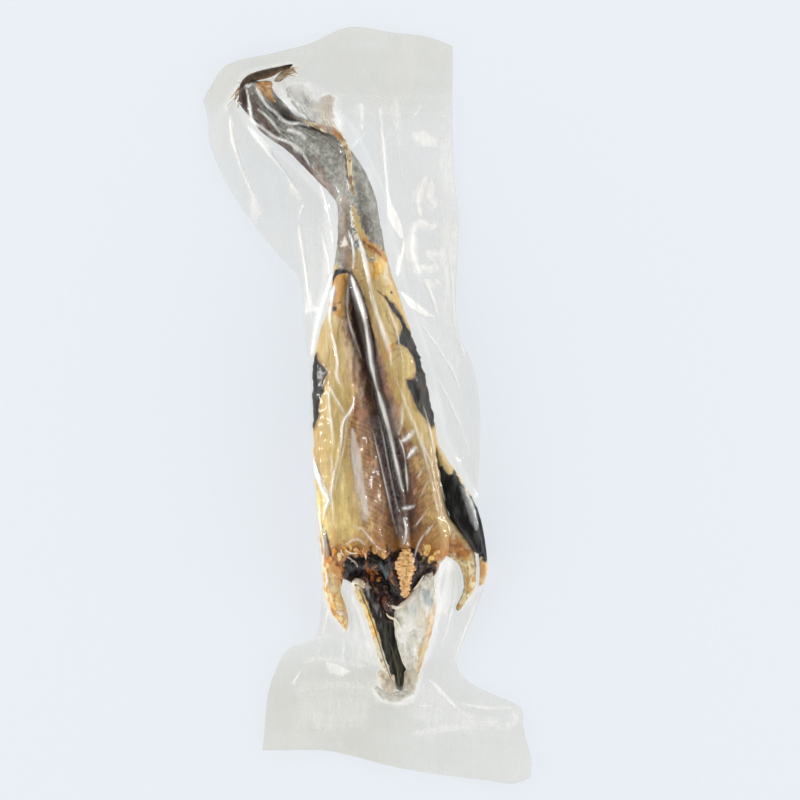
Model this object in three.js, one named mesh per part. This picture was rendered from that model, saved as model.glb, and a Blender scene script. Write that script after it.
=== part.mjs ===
// A headless dried salt cod, opened along the belly, in a clear vacuum bag.
//
// The film is sucked tight on the fish, so the pack is one solid. Its outside is where the film lies: on the
// fish, stretched across the hollows that it can't reach, and pressed flat in the empty margins of the bag.
// The fish lies on its back with the open belly up, its throat at -Y and its tail curled to the left at +Y.
//
// Millimetres, +Z up. The origin is on the resting surface, under the middle of the bag.

import * as THREE from 'three';

// Film
const FLAP_THICKNESS = 1.4; // both webs of the bag where they lie on each other
const SKIN_THICKNESS = 0.5; // one web over the fish
const BRIDGE_RADIUS = 25; // how round the film hangs where it spans a hollow
const DROOP_RADIUS = 140; // how fast the empty margins sink from the fish to the resting surface
const FLAP_CLEARANCE = 1.2; // the least height of a margin's middle
const FLAP_WAVE = 2.2; // how high the margins ripple
const FLAP_WAVELENGTH = 95;

// Facets
const COLUMNS = 40; // across the bag, even
const ROWS = 104; // along the bag, even
const SETTLING_SWEEPS = 500;
const LEAST_SPACING = 0.5; // between two vertices, for the pull of one on the other

// Facet density: what a millimetre counts for beside the fish, on it and up or down, and what each place gets
const BESIDE_FISH = 1;
const ON_FISH = 2.2;
const STEEP = 1.5;
const EACH_COLUMN = 0.3;
const EACH_ROW = 1;

// Outline of the bag, each side from left to right or from the filling end up. The real bag is a 250 x 700 mm
// rectangle: the fish draws its sides in and pulls one corner round the tail.
const BAG_SIDES = {
  bottom: [
    [-97, -319], [-42, -319], [-20, -323], [24, -334], [68, -342], [112, -347], [134, -350], [151, -345],
  ],
  right: [
    [151, -345], [152, -328], [145, -301], [142, -280], [118, -268], [96, -257], [83, -241], [87, -224],
    [104, -180], [110, -158], [109, -136], [104, -114], [102, -87], [104, -40], [104, 0], [96, 41], [86, 63],
    [82, 90], [85, 175], [81, 207], [79, 253], [79, 333],
  ],
  top: [
    [-152, 283], [-145, 295], [-131, 314], [-86, 326], [-53, 335], [-18, 350], [24, 345], [57, 341],
    [79, 333],
  ],
  left: [
    [-97, -319], [-95, -301], [-92, -268], [-85, -246], [-74, -226], [-48, -213], [-43, -190], [-42, -160],
    [-47, -110], [-48, -75], [-52, -47], [-53, 35], [-58, 70], [-63, 118], [-73, 129], [-101, 162],
    [-131, 207], [-146, 244], [-147, 262], [-152, 283],
  ],
};

// Pieces of the fish, each a strip along a line. A station is [x, y, half width, middle height, thickness].
const TRUNK = [
  [21, -180, 27, 14, 20], [20, -160, 47, 16, 30], [18, -135, 58, 17, 39], [13, -98, 58, 18, 45],
  [8, -42, 57, 20, 49], [3, 0, 53, 20, 49], [-2, 45, 47, 20, 48], [-3, 92, 33, 18, 45], [-5, 124, 26, 17, 40],
  [-7, 162, 20, 16, 37], [-11, 192, 18, 15, 34], [-34, 225, 20, 13, 29],
  [-68, 252, 15, 11, 25], [-86, 265, 15, 10, 22], [-106, 288, 12, 9, 14], [-111, 297, 7, 8, 8],
];
const RIGHT_FLAP = [
  [62, -40, 7, 18, 30], [73, -66, 13, 17, 30], [84, -96, 17, 16, 28], [92, -122, 14, 14, 24],
  [98, -138, 8, 12, 16],
];
const TAIL_FIN = [
  [-114, 288, 7, 8, 7], [-108, 298, 9, 9, 7], [-95, 302, 8, 9, 6], [-80, 308, 6, 8, 5], [-60, 312, 2, 7, 4],
];
const SMALL_FIN = [[-45, 255, 12, 9, 4], [-38, 274, 10, 8, 3], [-33, 288, 5, 7, 3]];
const LEFT_COLLAR = [
  [-12, -163, 6, 14, 14], [-1, -190, 6, 13, 14], [10, -218, 7, 11, 12], [28, -266, 7, 8, 8],
];
const RIGHT_COLLAR = [
  [52, -157, 10, 17, 14], [46, -173, 16, 17, 15], [42, -193, 20, 16, 15], [43, -216, 16, 14, 14],
  [42, -236, 12, 11, 12], [34, -264, 8, 8, 8],
];
const THROAT = [[17, -179, 17, 8, 10], [23, -207, 12, 7, 8], [31, -258, 5, 6, 6]];
const LEFT_FIN = [
  [-30, -132, 9, 14, 16], [-32, -156, 9, 12, 13], [-29, -177, 8, 11, 10], [-20, -205, 3, 9, 6],
];
const RIGHT_FIN = [[78, -120, 13, 14, 18], [91, -144, 9, 12, 13], [95, -162, 7, 11, 11], [84, -190, 3, 9, 7]];
const RIGHT_FIN_SPUR = [[102, -128, 6, 12, 11], [107, -147, 5, 11, 9], [108, -164, 3, 10, 7]];
const SPINE_STUB = [
  [33, -128, 5, 25, 16], [35, -144, 8, 26, 18], [35, -161, 7, 23, 15], [34, -177, 4, 20, 11],
];

// The open belly. A station is [x, y, reach to the left lip, reach to the right lip, depth] from the
// backbone.
const BELLY = [
  [34, -179, 26, 24, 4], [32, -147, 32, 38, 9], [30, -124, 35, 42, 13], [28, -87, 36, 37, 15],
  [22, -50, 36, 36, 16], [14, -13, 32, 27, 16], [3, 23, 25, 23, 15], [-5, 60, 22, 17, 14],
  [-12, 97, 13, 11, 10], [-16, 123, 8, 8, 1],
];
const BACKBONE_HEIGHT = 6;
const BACKBONE_HALF_WIDTH = 7;

// Beyond any height of the pack, for a web that nothing holds
const OPEN_HEIGHT = 99;

// A smooth step from 0 at 0 to 1 at 1.
const smooth = (x) => THREE.MathUtils.smoothstep(x, 0, 1);

// A smooth line through stations that carry sizes with them.
class Line {
  constructor(stations, perStation = 12) {
    const curve = (a, b, c) => new THREE.CatmullRomCurve3(
      stations.map((s) => new THREE.Vector3(s[a], s[b], s[c] ?? 0)));
    const plan = curve(0, 1, 2);
    const sizes = curve(3, 4, 5);
    this.last = (stations.length - 1) * perStation;
    this.samples = Array.from({ length: this.last + 1 }, (_, i) => {
      const p = plan.getPoint(i / this.last);
      const s = sizes.getPoint(i / this.last);
      return { x: p.x, y: p.y, sizes: [p.z, s.x, s.y] };
    });
    this.samples.forEach((s, i) => {
      const a = this.samples[Math.max(i - 1, 0)];
      const b = this.samples[Math.min(i + 1, this.last)];
      s.length = Math.hypot(b.x - a.x, b.y - a.y);
      s.tx = (b.x - a.x) / s.length;
      s.ty = (b.y - a.y) / s.length;
    });
  }

  // The stop on the line that a point is most inside of, and how far off it the point is, in half widths.
  // Every stop reaches blunt half widths on along the line.
  closest(x, y, blunt) {
    let best = { off: Infinity };
    for (const stop of this.samples) {
      const right = (x - stop.x) * stop.ty - (y - stop.y) * stop.tx;
      const ahead = Math.abs((x - stop.x) * stop.tx + (y - stop.y) * stop.ty) - stop.length / 4;
      const off = Math.hypot(right, Math.max(ahead, 0) / blunt) / stop.sizes[0];
      if (off < best.off) best = { stop, off };
    }
    return best;
  }

  // The stop level with a point, for a line that runs up the bag.
  level(y) {
    return this.samples.reduce((best, stop) => (Math.abs(stop.y - y) < Math.abs(best.y - y) ? stop : best));
  }
}

// A rounded strip of fish. above is the share of its thickness over the middle height, boxy how square its
// section is, and blunt how far it runs on past its last stations, in half widths.
class Strip {
  constructor(stations, { above = 0.5, boxy = 2.2, blunt = 0.5 } = {}) {
    Object.assign(this, { line: new Line(stations), above, boxy, blunt });
  }

  heights(x, y) {
    const { stop, off } = this.line.closest(x, y, this.blunt);
    if (off >= 1) return null;
    const [, middle, thickness] = stop.sizes;
    const swell = thickness * (1 - off ** this.boxy) ** (1 / this.boxy);
    const under = Math.max(middle - (1 - this.above) * swell, 0);
    return { middle, top: middle + this.above * swell, under };
  }
}

const trunk = new Strip(TRUNK, { above: 0.57, boxy: 2.6, blunt: 0.3 });
const belly = new Line(BELLY);
const otherStrips = [
  RIGHT_FLAP, TAIL_FIN, SMALL_FIN, LEFT_COLLAR, RIGHT_COLLAR, THROAT, LEFT_FIN, RIGHT_FIN, RIGHT_FIN_SPUR,
  SPINE_STUB,
].map((stations) => new Strip(stations));

// How far the belly's hollow sinks below the closed fish, with the backbone standing up along its floor.
function bellyDepth(x, y) {
  const stop = belly.level(y);
  const [leftReach, rightReach, depth] = stop.sizes;
  const right = x - stop.x;
  const beyond = Math.abs(y - stop.y);
  const reach = right < 0 ? leftReach : rightReach;
  const hollow = depth * (1 - smooth(Math.abs(right) / reach)) * (1 - smooth(beyond / reach));
  const ridge = Math.min(depth, BACKBONE_HEIGHT) * (1 - smooth(Math.abs(right) / BACKBONE_HALF_WIDTH));
  return hollow - ridge * (1 - smooth(beyond / BACKBONE_HALF_WIDTH));
}

// Top, underside and middle height of the fish over a point, or null beside it.
function fishHeights(x, y) {
  const found = [];
  const body = trunk.heights(x, y);
  if (body) {
    body.top = Math.max(body.top - bellyDepth(x, y), body.middle);
    found.push(body);
  }
  for (const strip of otherStrips) {
    const piece = strip.heights(x, y);
    if (piece) found.push(piece);
  }
  if (!found.length) return null;
  return {
    top: Math.max(...found.map((f) => f.top)),
    under: Math.min(...found.map((f) => f.under)),
    middle: found.reduce((sum, f) => sum + f.middle, 0) / found.length,
  };
}

// The bag's flat rectangle, (u, v) from 0 to 1, laid on its outline by a Coons patch. Its sides are followed
// by their heights, and its ends by their lengths.
function bagMap() {
  const curve = (points) => new THREE.CatmullRomCurve3(points.map(([x, y]) => new THREE.Vector3(x, y, 0)));
  const side = (points) => {
    const samples = curve(points).getPoints(400);
    const low = samples[0].y;
    const high = samples[samples.length - 1].y;
    return (v) => {
      const y = low + (high - low) * v;
      const i = Math.max(1, samples.findIndex((p) => p.y >= y - 1e-9));
      const [a, b] = [samples[i - 1], samples[i]];
      const share = THREE.MathUtils.clamp((y - a.y) / (b.y - a.y), 0, 1);
      return new THREE.Vector2(THREE.MathUtils.lerp(a.x, b.x, share), y);
    };
  };
  const end = (points) => {
    const line = curve(points);
    return (u) => {
      const p = line.getPointAt(u);
      return new THREE.Vector2(p.x, p.y);
    };
  };
  const left = side(BAG_SIDES.left);
  const right = side(BAG_SIDES.right);
  const bottom = end(BAG_SIDES.bottom);
  const top = end(BAG_SIDES.top);
  const chord = (line, u) => line(0).lerp(line(1), u);
  return (u, v) => {
    const across = left(v).lerp(right(v), u);
    const sag = bottom(u).sub(chord(bottom, u)).multiplyScalar(1 - v);
    const crown = top(u).sub(chord(top, u)).multiplyScalar(v);
    return across.add(sag).add(crown);
  };
}

// Places count + 1 stops from 0 to 1 so that equal shares of the density lie between them.
function evenStops(density, count) {
  const total = [0];
  density.forEach((d, i) => total.push(total[i] + d));
  const whole = total[density.length];
  return Array.from({ length: count + 1 }, (_, k) => {
    const share = whole * k / count;
    const i = Math.min(Math.max(total.findIndex((t) => t > share) - 1, 0), density.length - 1);
    return k === count ? 1 : (i + (share - total[i]) / density[i]) / density.length;
  });
}

// Vertices of the bag, closest together where the fish is steep.
function layGrid(place) {
  const SAMPLES = 150;
  const SPREAD = 4; // rows that share their columns' places
  const fine = Array.from({ length: SAMPLES }, (_, i) => Array.from({ length: SAMPLES }, (_, j) => {
    const p = place((j + 0.5) / SAMPLES, (i + 0.5) / SAMPLES);
    return { x: p.x, y: p.y, z: fishHeights(p.x, p.y)?.top ?? 0 };
  }));
  const need = (a, b, onFish) => {
    const run = Math.hypot(b.x - a.x, b.y - a.y);
    return run * (onFish ? ON_FISH : BESIDE_FISH) + STEEP * Math.abs(b.z - a.z);
  };
  const last = SAMPLES - 1;
  const across = fine.map((row) => row.map(
    (p, j) => need(p, row[Math.min(j + 1, last)], p.z > 0) + EACH_COLUMN));
  const along = fine.map((row, i) => {
    const next = fine[Math.min(i + 1, last)];
    return row.reduce((sum, p, j) => sum + need(p, next[j], p.z > 0), 0) / SAMPLES + EACH_ROW;
  });
  const vStops = evenStops(along, ROWS);
  return vStops.map((v) => {
    const centre = Math.min(Math.floor(v * SAMPLES), last);
    const near = across.slice(Math.max(centre - SPREAD, 0), centre + SPREAD + 1);
    const density = across[0].map((_, j) => near.reduce((sum, row) => sum + row[j], 0) / near.length);
    return evenStops(density, COLUMNS).map((u) => place(u, v));
  });
}

// Lets a web of film settle between low and high. Where it touches neither, it hangs with the given curvature,
// which is positive where the middle of a span sinks.
function settle(grid, start, low, high, curvature) {
  const z = start.map((row) => row.slice());
  const strength = (p, q) => 1 / Math.max(p.distanceToSquared(q), LEAST_SPACING ** 2);
  for (let sweep = 0; sweep < SETTLING_SWEEPS; sweep++) {
    for (let i = 0; i <= ROWS; i++) {
      for (let j = 0; j <= COLUMNS; j++) {
        let pull = -curvature;
        let weight = 0;
        for (const [a, b] of [[i - 1, j], [i + 1, j], [i, j - 1], [i, j + 1]]) {
          if (a < 0 || a > ROWS || b < 0 || b > COLUMNS) continue;
          const w = strength(grid[i][j], grid[a][b]);
          pull += w * z[a][b];
          weight += w;
        }
        z[i][j] = THREE.MathUtils.clamp(pull / weight, low[i][j], high[i][j]);
      }
    }
  }
  return z;
}

// Heights of the upper and lower web of the bag at every vertex.
function drapeFilm(grid) {
  const each = (f) => grid.map((row, i) => row.map((p, j) => f(p, i, j)));
  const fish = each((p) => fishHeights(p.x, p.y));
  const ripple = (distance) => Math.sin(distance * 2 * Math.PI / FLAP_WAVELENGTH);
  const wave = (p) => FLAP_WAVE * (1 + ripple(p.x + 0.6 * p.y) * ripple(p.y / 1.7 + FLAP_WAVELENGTH / 4));
  const rest = each((p, i, j) => fish[i][j]?.middle ?? FLAP_CLEARANCE + wave(p));
  const ceiling = each((_, i, j) => fish[i][j]?.middle ?? OPEN_HEIGHT);
  const middle = settle(grid, rest, rest, ceiling, 1 / DROOP_RADIUS);
  const onRim = (i, j) => i === 0 || j === 0 || i === ROWS || j === COLUMNS;
  const half = (i, j) => (onRim(i, j) ? 0 : FLAP_THICKNESS / 2);
  const fishTop = (i, j) => fish[i][j]?.top ?? 0;
  const fishUnder = (i, j) => fish[i][j]?.under ?? OPEN_HEIGHT;
  const upperLimit = each((_, i, j) => Math.max(middle[i][j] + half(i, j), fishTop(i, j) + SKIN_THICKNESS));
  const lowerLimit = each((_, i, j) => Math.max(
    Math.min(middle[i][j] - half(i, j), fishUnder(i, j) - SKIN_THICKNESS), 0));
  const held = (limit, free) => each((_, i, j) => (onRim(i, j) ? middle[i][j] : free ?? limit[i][j]));
  const upper = settle(grid, upperLimit, held(upperLimit), held(upperLimit, OPEN_HEIGHT), 1 / BRIDGE_RADIUS);
  const lower = settle(grid, lowerLimit, held(lowerLimit, 0), held(lowerLimit), -1 / BRIDGE_RADIUS);
  return { upper, lower };
}

// One closed surface: the upper web with every vertex, the lower one with every second, joined at the rim.
function packGeometry() {
  const grid = layGrid(bagMap());
  const { upper, lower } = drapeFilm(grid);
  const positions = [];
  const addVertex = (p, z) => positions.push(p.x, p.y, z) / 3 - 1;
  const above = grid.map((row, i) => row.map((p, j) => addVertex(p, upper[i][j])));
  const onRim = (i, j) => i === 0 || j === 0 || i === ROWS || j === COLUMNS;
  const below = grid.map((row, i) => row.map((p, j) => {
    if (onRim(i, j)) return above[i][j];
    return i % 2 || j % 2 ? null : addVertex(p, lower[i][j]);
  }));
  const triangles = [];
  for (let i = 0; i < ROWS; i++) {
    for (let j = 0; j < COLUMNS; j++) {
      const [a, b, c, d] = [above[i][j], above[i][j + 1], above[i + 1][j + 1], above[i + 1][j]];
      const leansOut = (i < ROWS / 2) === (j < COLUMNS / 2);
      triangles.push(...(leansOut ? [a, b, c, a, c, d] : [a, b, d, b, c, d]));
    }
  }
  for (let i = 0; i < ROWS; i += 2) {
    for (let j = 0; j < COLUMNS; j += 2) {
      const around = [[0, 0], [1, 0], [2, 0], [2, 1], [2, 2], [1, 2], [0, 2], [0, 1]];
      const kept = around.map(([di, dj]) => ({ id: below[i + di][j + dj], corner: di !== 1 && dj !== 1 }))
        .filter(({ id }) => id !== null);
      const first = Math.max(kept.findIndex((k) => !k.corner), 0);
      const loop = [...kept.slice(first), ...kept.slice(0, first)].map((k) => k.id);
      for (let k = 1; k + 1 < loop.length; k++) triangles.push(loop[0], loop[k], loop[k + 1]);
    }
  }
  const geometry = new THREE.BufferGeometry();
  geometry.setAttribute('position', new THREE.Float32BufferAttribute(positions, 3));
  geometry.setIndex(triangles);
  geometry.computeVertexNormals();
  return geometry;
}

const film = new THREE.MeshStandardMaterial({ color: 0xc9b78f, roughness: 0.25, metalness: 0 });
const bag = new THREE.Mesh(packGeometry(), film);
bag.name = 'sealed_bag';

const pack = new THREE.Group();
pack.add(bag);
export default pack;
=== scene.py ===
"""A whole headless dried cod, opened along the belly, sucked tight in a clear vacuum bag.

The fish is a set of lofted strips with relief and painted markings. Two webs of film are draped over and
under it, pressed together in the bag's margins and folded along creases. Lengths are in millimetres until a
mesh is made.
"""

import bpy
import numpy as np
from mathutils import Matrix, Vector
from mathutils.bvhtree import BVHTree


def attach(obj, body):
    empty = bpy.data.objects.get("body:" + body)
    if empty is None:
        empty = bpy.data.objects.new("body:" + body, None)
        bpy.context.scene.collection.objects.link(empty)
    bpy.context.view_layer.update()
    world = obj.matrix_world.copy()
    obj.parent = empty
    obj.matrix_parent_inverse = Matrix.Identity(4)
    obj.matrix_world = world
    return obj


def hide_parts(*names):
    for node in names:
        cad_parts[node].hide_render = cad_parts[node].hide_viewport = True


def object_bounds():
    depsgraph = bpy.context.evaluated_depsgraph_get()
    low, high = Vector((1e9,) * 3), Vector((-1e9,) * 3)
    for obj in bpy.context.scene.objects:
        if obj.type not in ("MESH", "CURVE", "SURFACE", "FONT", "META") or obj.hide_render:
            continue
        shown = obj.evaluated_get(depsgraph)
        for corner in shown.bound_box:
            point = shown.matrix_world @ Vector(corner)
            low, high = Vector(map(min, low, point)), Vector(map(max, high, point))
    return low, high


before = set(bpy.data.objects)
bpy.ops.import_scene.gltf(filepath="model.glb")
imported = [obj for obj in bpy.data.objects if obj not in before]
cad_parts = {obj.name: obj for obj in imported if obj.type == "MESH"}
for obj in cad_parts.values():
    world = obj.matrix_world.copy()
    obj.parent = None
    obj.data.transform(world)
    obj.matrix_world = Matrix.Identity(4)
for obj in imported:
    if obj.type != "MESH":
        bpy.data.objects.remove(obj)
cad_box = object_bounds()

MM = 0.001
PX = 0.92  # millimetres for each pixel of the photograph
ORIGIN_PX = (367.0, 405.5)  # the pixel over the frame's origin
VIEW_CENTRE_PX = (400.0, 400.0)
PICTURE_PX = 800
MEAN_HEIGHT = 20.0  # the height at which PX holds
LOWEST_FISH = 0.9  # the film under the fish fits below this
LOWEST_FILM = 0.02
TALLEST_FILM = 47.4
LENS = 135  # millimetres
SENSOR = 36

# ---------------------------------------------------------------- numbers


def plan(points):
    """Points given in pixels of the photograph as millimetres in the frame. Further columns stay."""
    p = np.array(points, float)
    p[:, 0] = (p[:, 0] - ORIGIN_PX[0]) * PX
    p[:, 1] = (ORIGIN_PX[1] - p[:, 1]) * PX
    return p


def smooth(x, low=0.0, high=1.0):
    """0 at low and 1 at high, with a soft step between them. It falls where high is under low."""
    t = np.clip((np.asarray(x, float) - low) / (high - low), 0.0, 1.0)
    return t * t * (3 - 2 * t)


def linear(r, g, b):
    """A colour of a screen, 0 to 255, as light."""
    c = np.array([r, g, b], float) / 255.0
    return np.where(c <= 0.04045, c / 12.92, ((c + 0.055) / 1.055) ** 2.4)


def mix(a, b, w):
    """Colour a, going over to b as w goes from 0 to 1."""
    w = np.clip(np.asarray(w, float), 0, 1)[..., None]
    return a * (1 - w) + b * w


def lattice(ix, iy, seed):
    """A fixed random number from -1 to 1 for each lattice point."""
    h = (ix.astype(np.int64) * 374761393 + iy.astype(np.int64) * 668265263 + seed * 974634777) & 0xFFFFFFFF
    h = ((h ^ (h >> 13)) * 1274126177) & 0xFFFFFFFF
    return ((h ^ (h >> 16)) & 0xFFFF) / 32767.5 - 1.0


def noise(x, y, seed=0):
    """Smooth value noise from -1 to 1, one lattice cell a unit."""
    x, y = np.asarray(x, float), np.asarray(y, float)
    ix, iy = np.floor(x), np.floor(y)
    fx, fy = smooth(x - ix), smooth(y - iy)
    low = lattice(ix, iy, seed) * (1 - fx) + lattice(ix + 1, iy, seed) * fx
    high = lattice(ix, iy + 1, seed) * (1 - fx) + lattice(ix + 1, iy + 1, seed) * fx
    return low * (1 - fy) + high * fy


def fbm(x, y, octaves=4, seed=0):
    """Cloudy noise of several grains, each half as large and half as strong as the one before."""
    total = sum(noise(x * 2 ** k + 17.3 * k, y * 2 ** k - 9.1 * k,
                      seed + k) / 2 ** k for k in range(octaves))
    return total / sum(1 / 2 ** k for k in range(octaves)) * 1.6


def ridged(x, y, seed=0, sharp=6):
    """Thin crests, from 0 to 1."""
    return (1 - np.abs(fbm(x, y, 2, seed))).clip(0, 1) ** sharp


def lengths_along(line):
    """The way run along a line up to each of its points."""
    return np.concatenate([[0], np.cumsum(np.hypot(*np.diff(line[:, :2], axis=0).T))])


def spline(rows, step=None, count=None):
    """Rows of numbers, x and y first, as a smooth line of rows, one every step or count in all."""
    p = np.asarray(rows, float)
    t = lengths_along(p)
    slope = np.gradient(p, t, axis=0)
    u = np.linspace(0, t[-1], count or max(int(t[-1] / step), 6) + 1)
    k = np.clip(np.searchsorted(t, u, side="right") - 1, 0, len(t) - 2)
    h = (t[k + 1] - t[k])[:, None]
    f = (u - t[k])[:, None] / h
    from_here = p[k] * (1 + 2 * f) * (1 - f) ** 2 + h * slope[k] * f * (1 - f) ** 2
    from_next = p[k + 1] * f * f * (3 - 2 * f) - h * slope[k + 1] * f * f * (1 - f)
    return from_here + from_next


def follow(points, x, y):
    """For each (x, y): the distance to a line of points, how far along the line that is from 0 to 1, and
    which side it is on, 1 on the right of the way the line runs and -1 on its left."""
    p = np.asarray(points, float)[:, :2]
    lengths = np.hypot(*np.diff(p, axis=0).T)
    start = np.concatenate([[0], np.cumsum(lengths)])
    best = np.full(np.shape(x), np.inf)
    along = np.zeros(np.shape(x))
    side = np.zeros(np.shape(x))
    for (ax, ay), (bx, by), at, length in zip(p[:-1], p[1:], start, lengths):
        tx, ty = (bx - ax) / length, (by - ay) / length
        t = np.clip((x - ax) * tx + (y - ay) * ty, 0, length)
        d = np.hypot(x - ax - t * tx, y - ay - t * ty)
        nearer = d < best
        best = np.where(nearer, d, best)
        along = np.where(nearer, (at + t) / start[-1], along)
        side = np.where(nearer, np.sign((x - ax) * ty - (y - ay) * tx), side)
    return best, along, side


def within(polygon, x, y):
    """Signed distance to the edge of a polygon in pixels: millimetres, positive inside."""
    p = plan(polygon)[:, :2]
    closed = np.vstack([p, p[:1]])
    d = follow(closed, x, y)[0]
    inside = np.zeros(np.shape(x), bool)
    for (ax, ay), (bx, by) in zip(closed[:-1], closed[1:]):
        if ay != by:
            inside ^= ((ay > y) != (by > y)) & (x < (bx - ax) * (y - ay) / (by - ay) + ax)
    return np.where(inside, d, -d)


def patch(polygon, x, y, soft=1.0, rough=1.5, grain=5.0, seed=0):
    """1 inside a polygon in pixels and 0 outside it, with an uneven edge."""
    d = within(polygon, x, y) + rough * fbm(x / grain, y / grain, 3, seed)
    return smooth(d, -soft, soft)


def stroke(points, x, y, half, soft=0.6, rough=0.4, grain=4.0, seed=0):
    """1 on a line in pixels, of a half width in millimetres or of widths spread along it, and 0 beside."""
    d, along, _ = follow(plan(points), x, y)
    widths = np.atleast_1d(half)
    width = np.interp(along, np.linspace(0, 1, len(widths)), widths)
    return smooth(width - d + rough * fbm(x / grain, y / grain, 2, seed), -soft, soft)


def spot(centre, x, y, radius, soft=0.8):
    """1 in a round spot of a radius in millimetres, and 0 outside it."""
    cx, cy = plan([centre])[0]
    return smooth(radius - np.hypot(x - cx, y - cy), -soft, soft)


# ---------------------------------------------------------------- materials


def new_material(name):
    """An empty material, and its tree of nodes."""
    material = bpy.data.materials.new(name)
    material.use_nodes = True
    material.node_tree.nodes.clear()
    return material, material.node_tree


def add_node(tree, kind, sockets=None, **properties):
    """A shader node. Each of its sockets takes a value, or the output of another node."""
    node = tree.nodes.new("ShaderNode" + kind)
    for key, value in properties.items():
        setattr(node, key, value)
    for key, value in (sockets or {}).items():
        if isinstance(value, bpy.types.NodeSocket):
            tree.links.new(value, node.inputs[key])
        else:
            node.inputs[key].default_value = value
    return node


def noise_node(tree, place, **sockets):
    """Cloudy noise at a place, from 0 to 1."""
    return add_node(tree, "TexNoise", {"Vector": place, **sockets}).outputs["Fac"]


def stretched(tree, place, along):
    """Places squeezed along y, which draws a texture out that way."""
    return add_node(tree, "Mapping", {"Vector": place, "Scale": (1.0, along, 1.0)}).outputs["Vector"]


def remap(tree, value, old, new, **properties):
    """A value carried from one range to another."""
    sockets = {"Value": value, "From Min": old[0], "From Max": old[1], "To Min": new[0], "To Max": new[1]}
    return add_node(tree, "MapRange", sockets, **properties).outputs["Result"]


def flesh_material(name, grain, contrast, bump, rough, shine=0.2):
    """Dried fish: the painted colour, broken up by fine grain and fibres, with bump to match."""
    material, tree = new_material(name)
    place = add_node(tree, "TexCoord").outputs["Object"]
    fine = noise_node(tree, place, Scale=grain, Detail=8, Roughness=0.65)
    fibre = noise_node(tree, stretched(tree, place, 0.22), Scale=grain * 1.4, Detail=5)
    both = add_node(tree, "Math", {0: fine, 1: fibre}, operation="ADD").outputs[0]
    spread = remap(tree, both, (0.6, 1.4), (1.0 - contrast, 1.0 + contrast))
    paint = add_node(tree, "Attribute", attribute_name="paint").outputs["Color"]
    shade = add_node(tree, "VectorMath", operation="SCALE")
    tree.links.new(paint, shade.inputs[0])
    tree.links.new(spread, shade.inputs["Scale"])
    relief = add_node(tree, "Bump", {"Strength": 0.8, "Distance": bump, "Height": both})
    shader = add_node(tree, "BsdfPrincipled", {
        "Base Color": shade.outputs["Vector"],
        "Specular IOR Level": shine,
        "Roughness": remap(tree, fine, (0.3, 0.7), (rough - 0.12, rough + 0.12)),
        "Normal": relief.outputs["Normal"],
    })
    add_node(tree, "OutputMaterial", {"Surface": shader.outputs["BSDF"]})
    return material


def film_material():
    """Clear film: mostly transparent, with sharp reflections, and white in creases and milky places, partly
    as painted highlight.
    """
    material, tree = new_material("vacuum_film")
    place = add_node(tree, "TexCoord").outputs["Object"]
    dull = add_node(tree, "Attribute", attribute_name="dull").outputs["Fac"]
    tint = add_node(tree, "Mix", {
        "A": (0.997, 0.994, 0.986, 1),
        "B": (0.923, 0.911, 0.866, 1),
        "Factor": dull,
    }, data_type="RGBA")
    clear = add_node(tree, "BsdfTransparent", {"Color": tint.outputs["Result"]})

    # White where the film is milky, and painted highlight along creases and sheen.
    haze_and_highlight = add_node(tree, "Attribute", attribute_name="haze_and_highlight").outputs["Fac"]
    streak = noise_node(tree, stretched(tree, place, 0.2), Scale=250, Detail=2)
    streaks = remap(tree, streak, (0.36, 0.64), (0.85, 1.15))
    milk_and_highlight = add_node(tree, "Math", {0: haze_and_highlight, 1: streaks}, operation="MULTIPLY", use_clamp=True)
    white = add_node(tree, "BsdfDiffuse", {"Color": (0.98, 0.968, 0.93, 1)})
    body = add_node(tree, "MixShader", {
        "Fac": milk_and_highlight.outputs[0],
        1: clear.outputs["BSDF"],
        2: white.outputs["BSDF"],
    })

    crinkle = noise_node(tree, place, Scale=90, Detail=3)
    relief = add_node(tree, "Bump", {"Strength": 0.07, "Distance": 0.0006, "Height": crinkle})
    facing = add_node(tree, "LayerWeight", {"Blend": 0.5, "Normal": relief.outputs["Normal"]})
    steep = add_node(tree, "Math", {0: facing.outputs["Facing"], 1: 7}, operation="POWER")
    gloss = add_node(tree, "BsdfGlossy", {"Roughness": 0.08, "Normal": relief.outputs["Normal"]})
    surface = add_node(tree, "MixShader", {
        "Fac": remap(tree, steep.outputs[0], (0.0, 1.0), (0.022, 0.9)),
        1: body.outputs["Shader"],
        2: gloss.outputs["BSDF"],
    })
    add_node(tree, "OutputMaterial", {"Surface": surface.outputs["Shader"]})
    return material


def floor_material():
    """A pale floor that glows a little, as over a light table, so that shadows stay weak."""
    material, tree = new_material("pale_floor")
    matt = add_node(tree, "BsdfDiffuse", {"Color": (0.2, 0.21, 0.223, 1)})
    glow = add_node(tree, "Emission", {"Color": (0.63, 0.66, 0.698, 1)})
    both = add_node(tree, "AddShader", {0: matt.outputs["BSDF"], 1: glow.outputs["Emission"]})
    add_node(tree, "OutputMaterial", {"Surface": both.outputs["Shader"]})
    return material


flesh = flesh_material("dried_flesh", grain=420, contrast=0.2, bump=0.0006, rough=0.5)
membrane = flesh_material("dark_membrane", grain=500, contrast=0.25, bump=0.0005, rough=0.45, shine=0.1)
bone = flesh_material("dried_bone", grain=500, contrast=0.2, bump=0.0006, rough=0.45)
film = film_material()

PAINT_GAIN = 0.98  # what the film takes away from the colours under it

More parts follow.
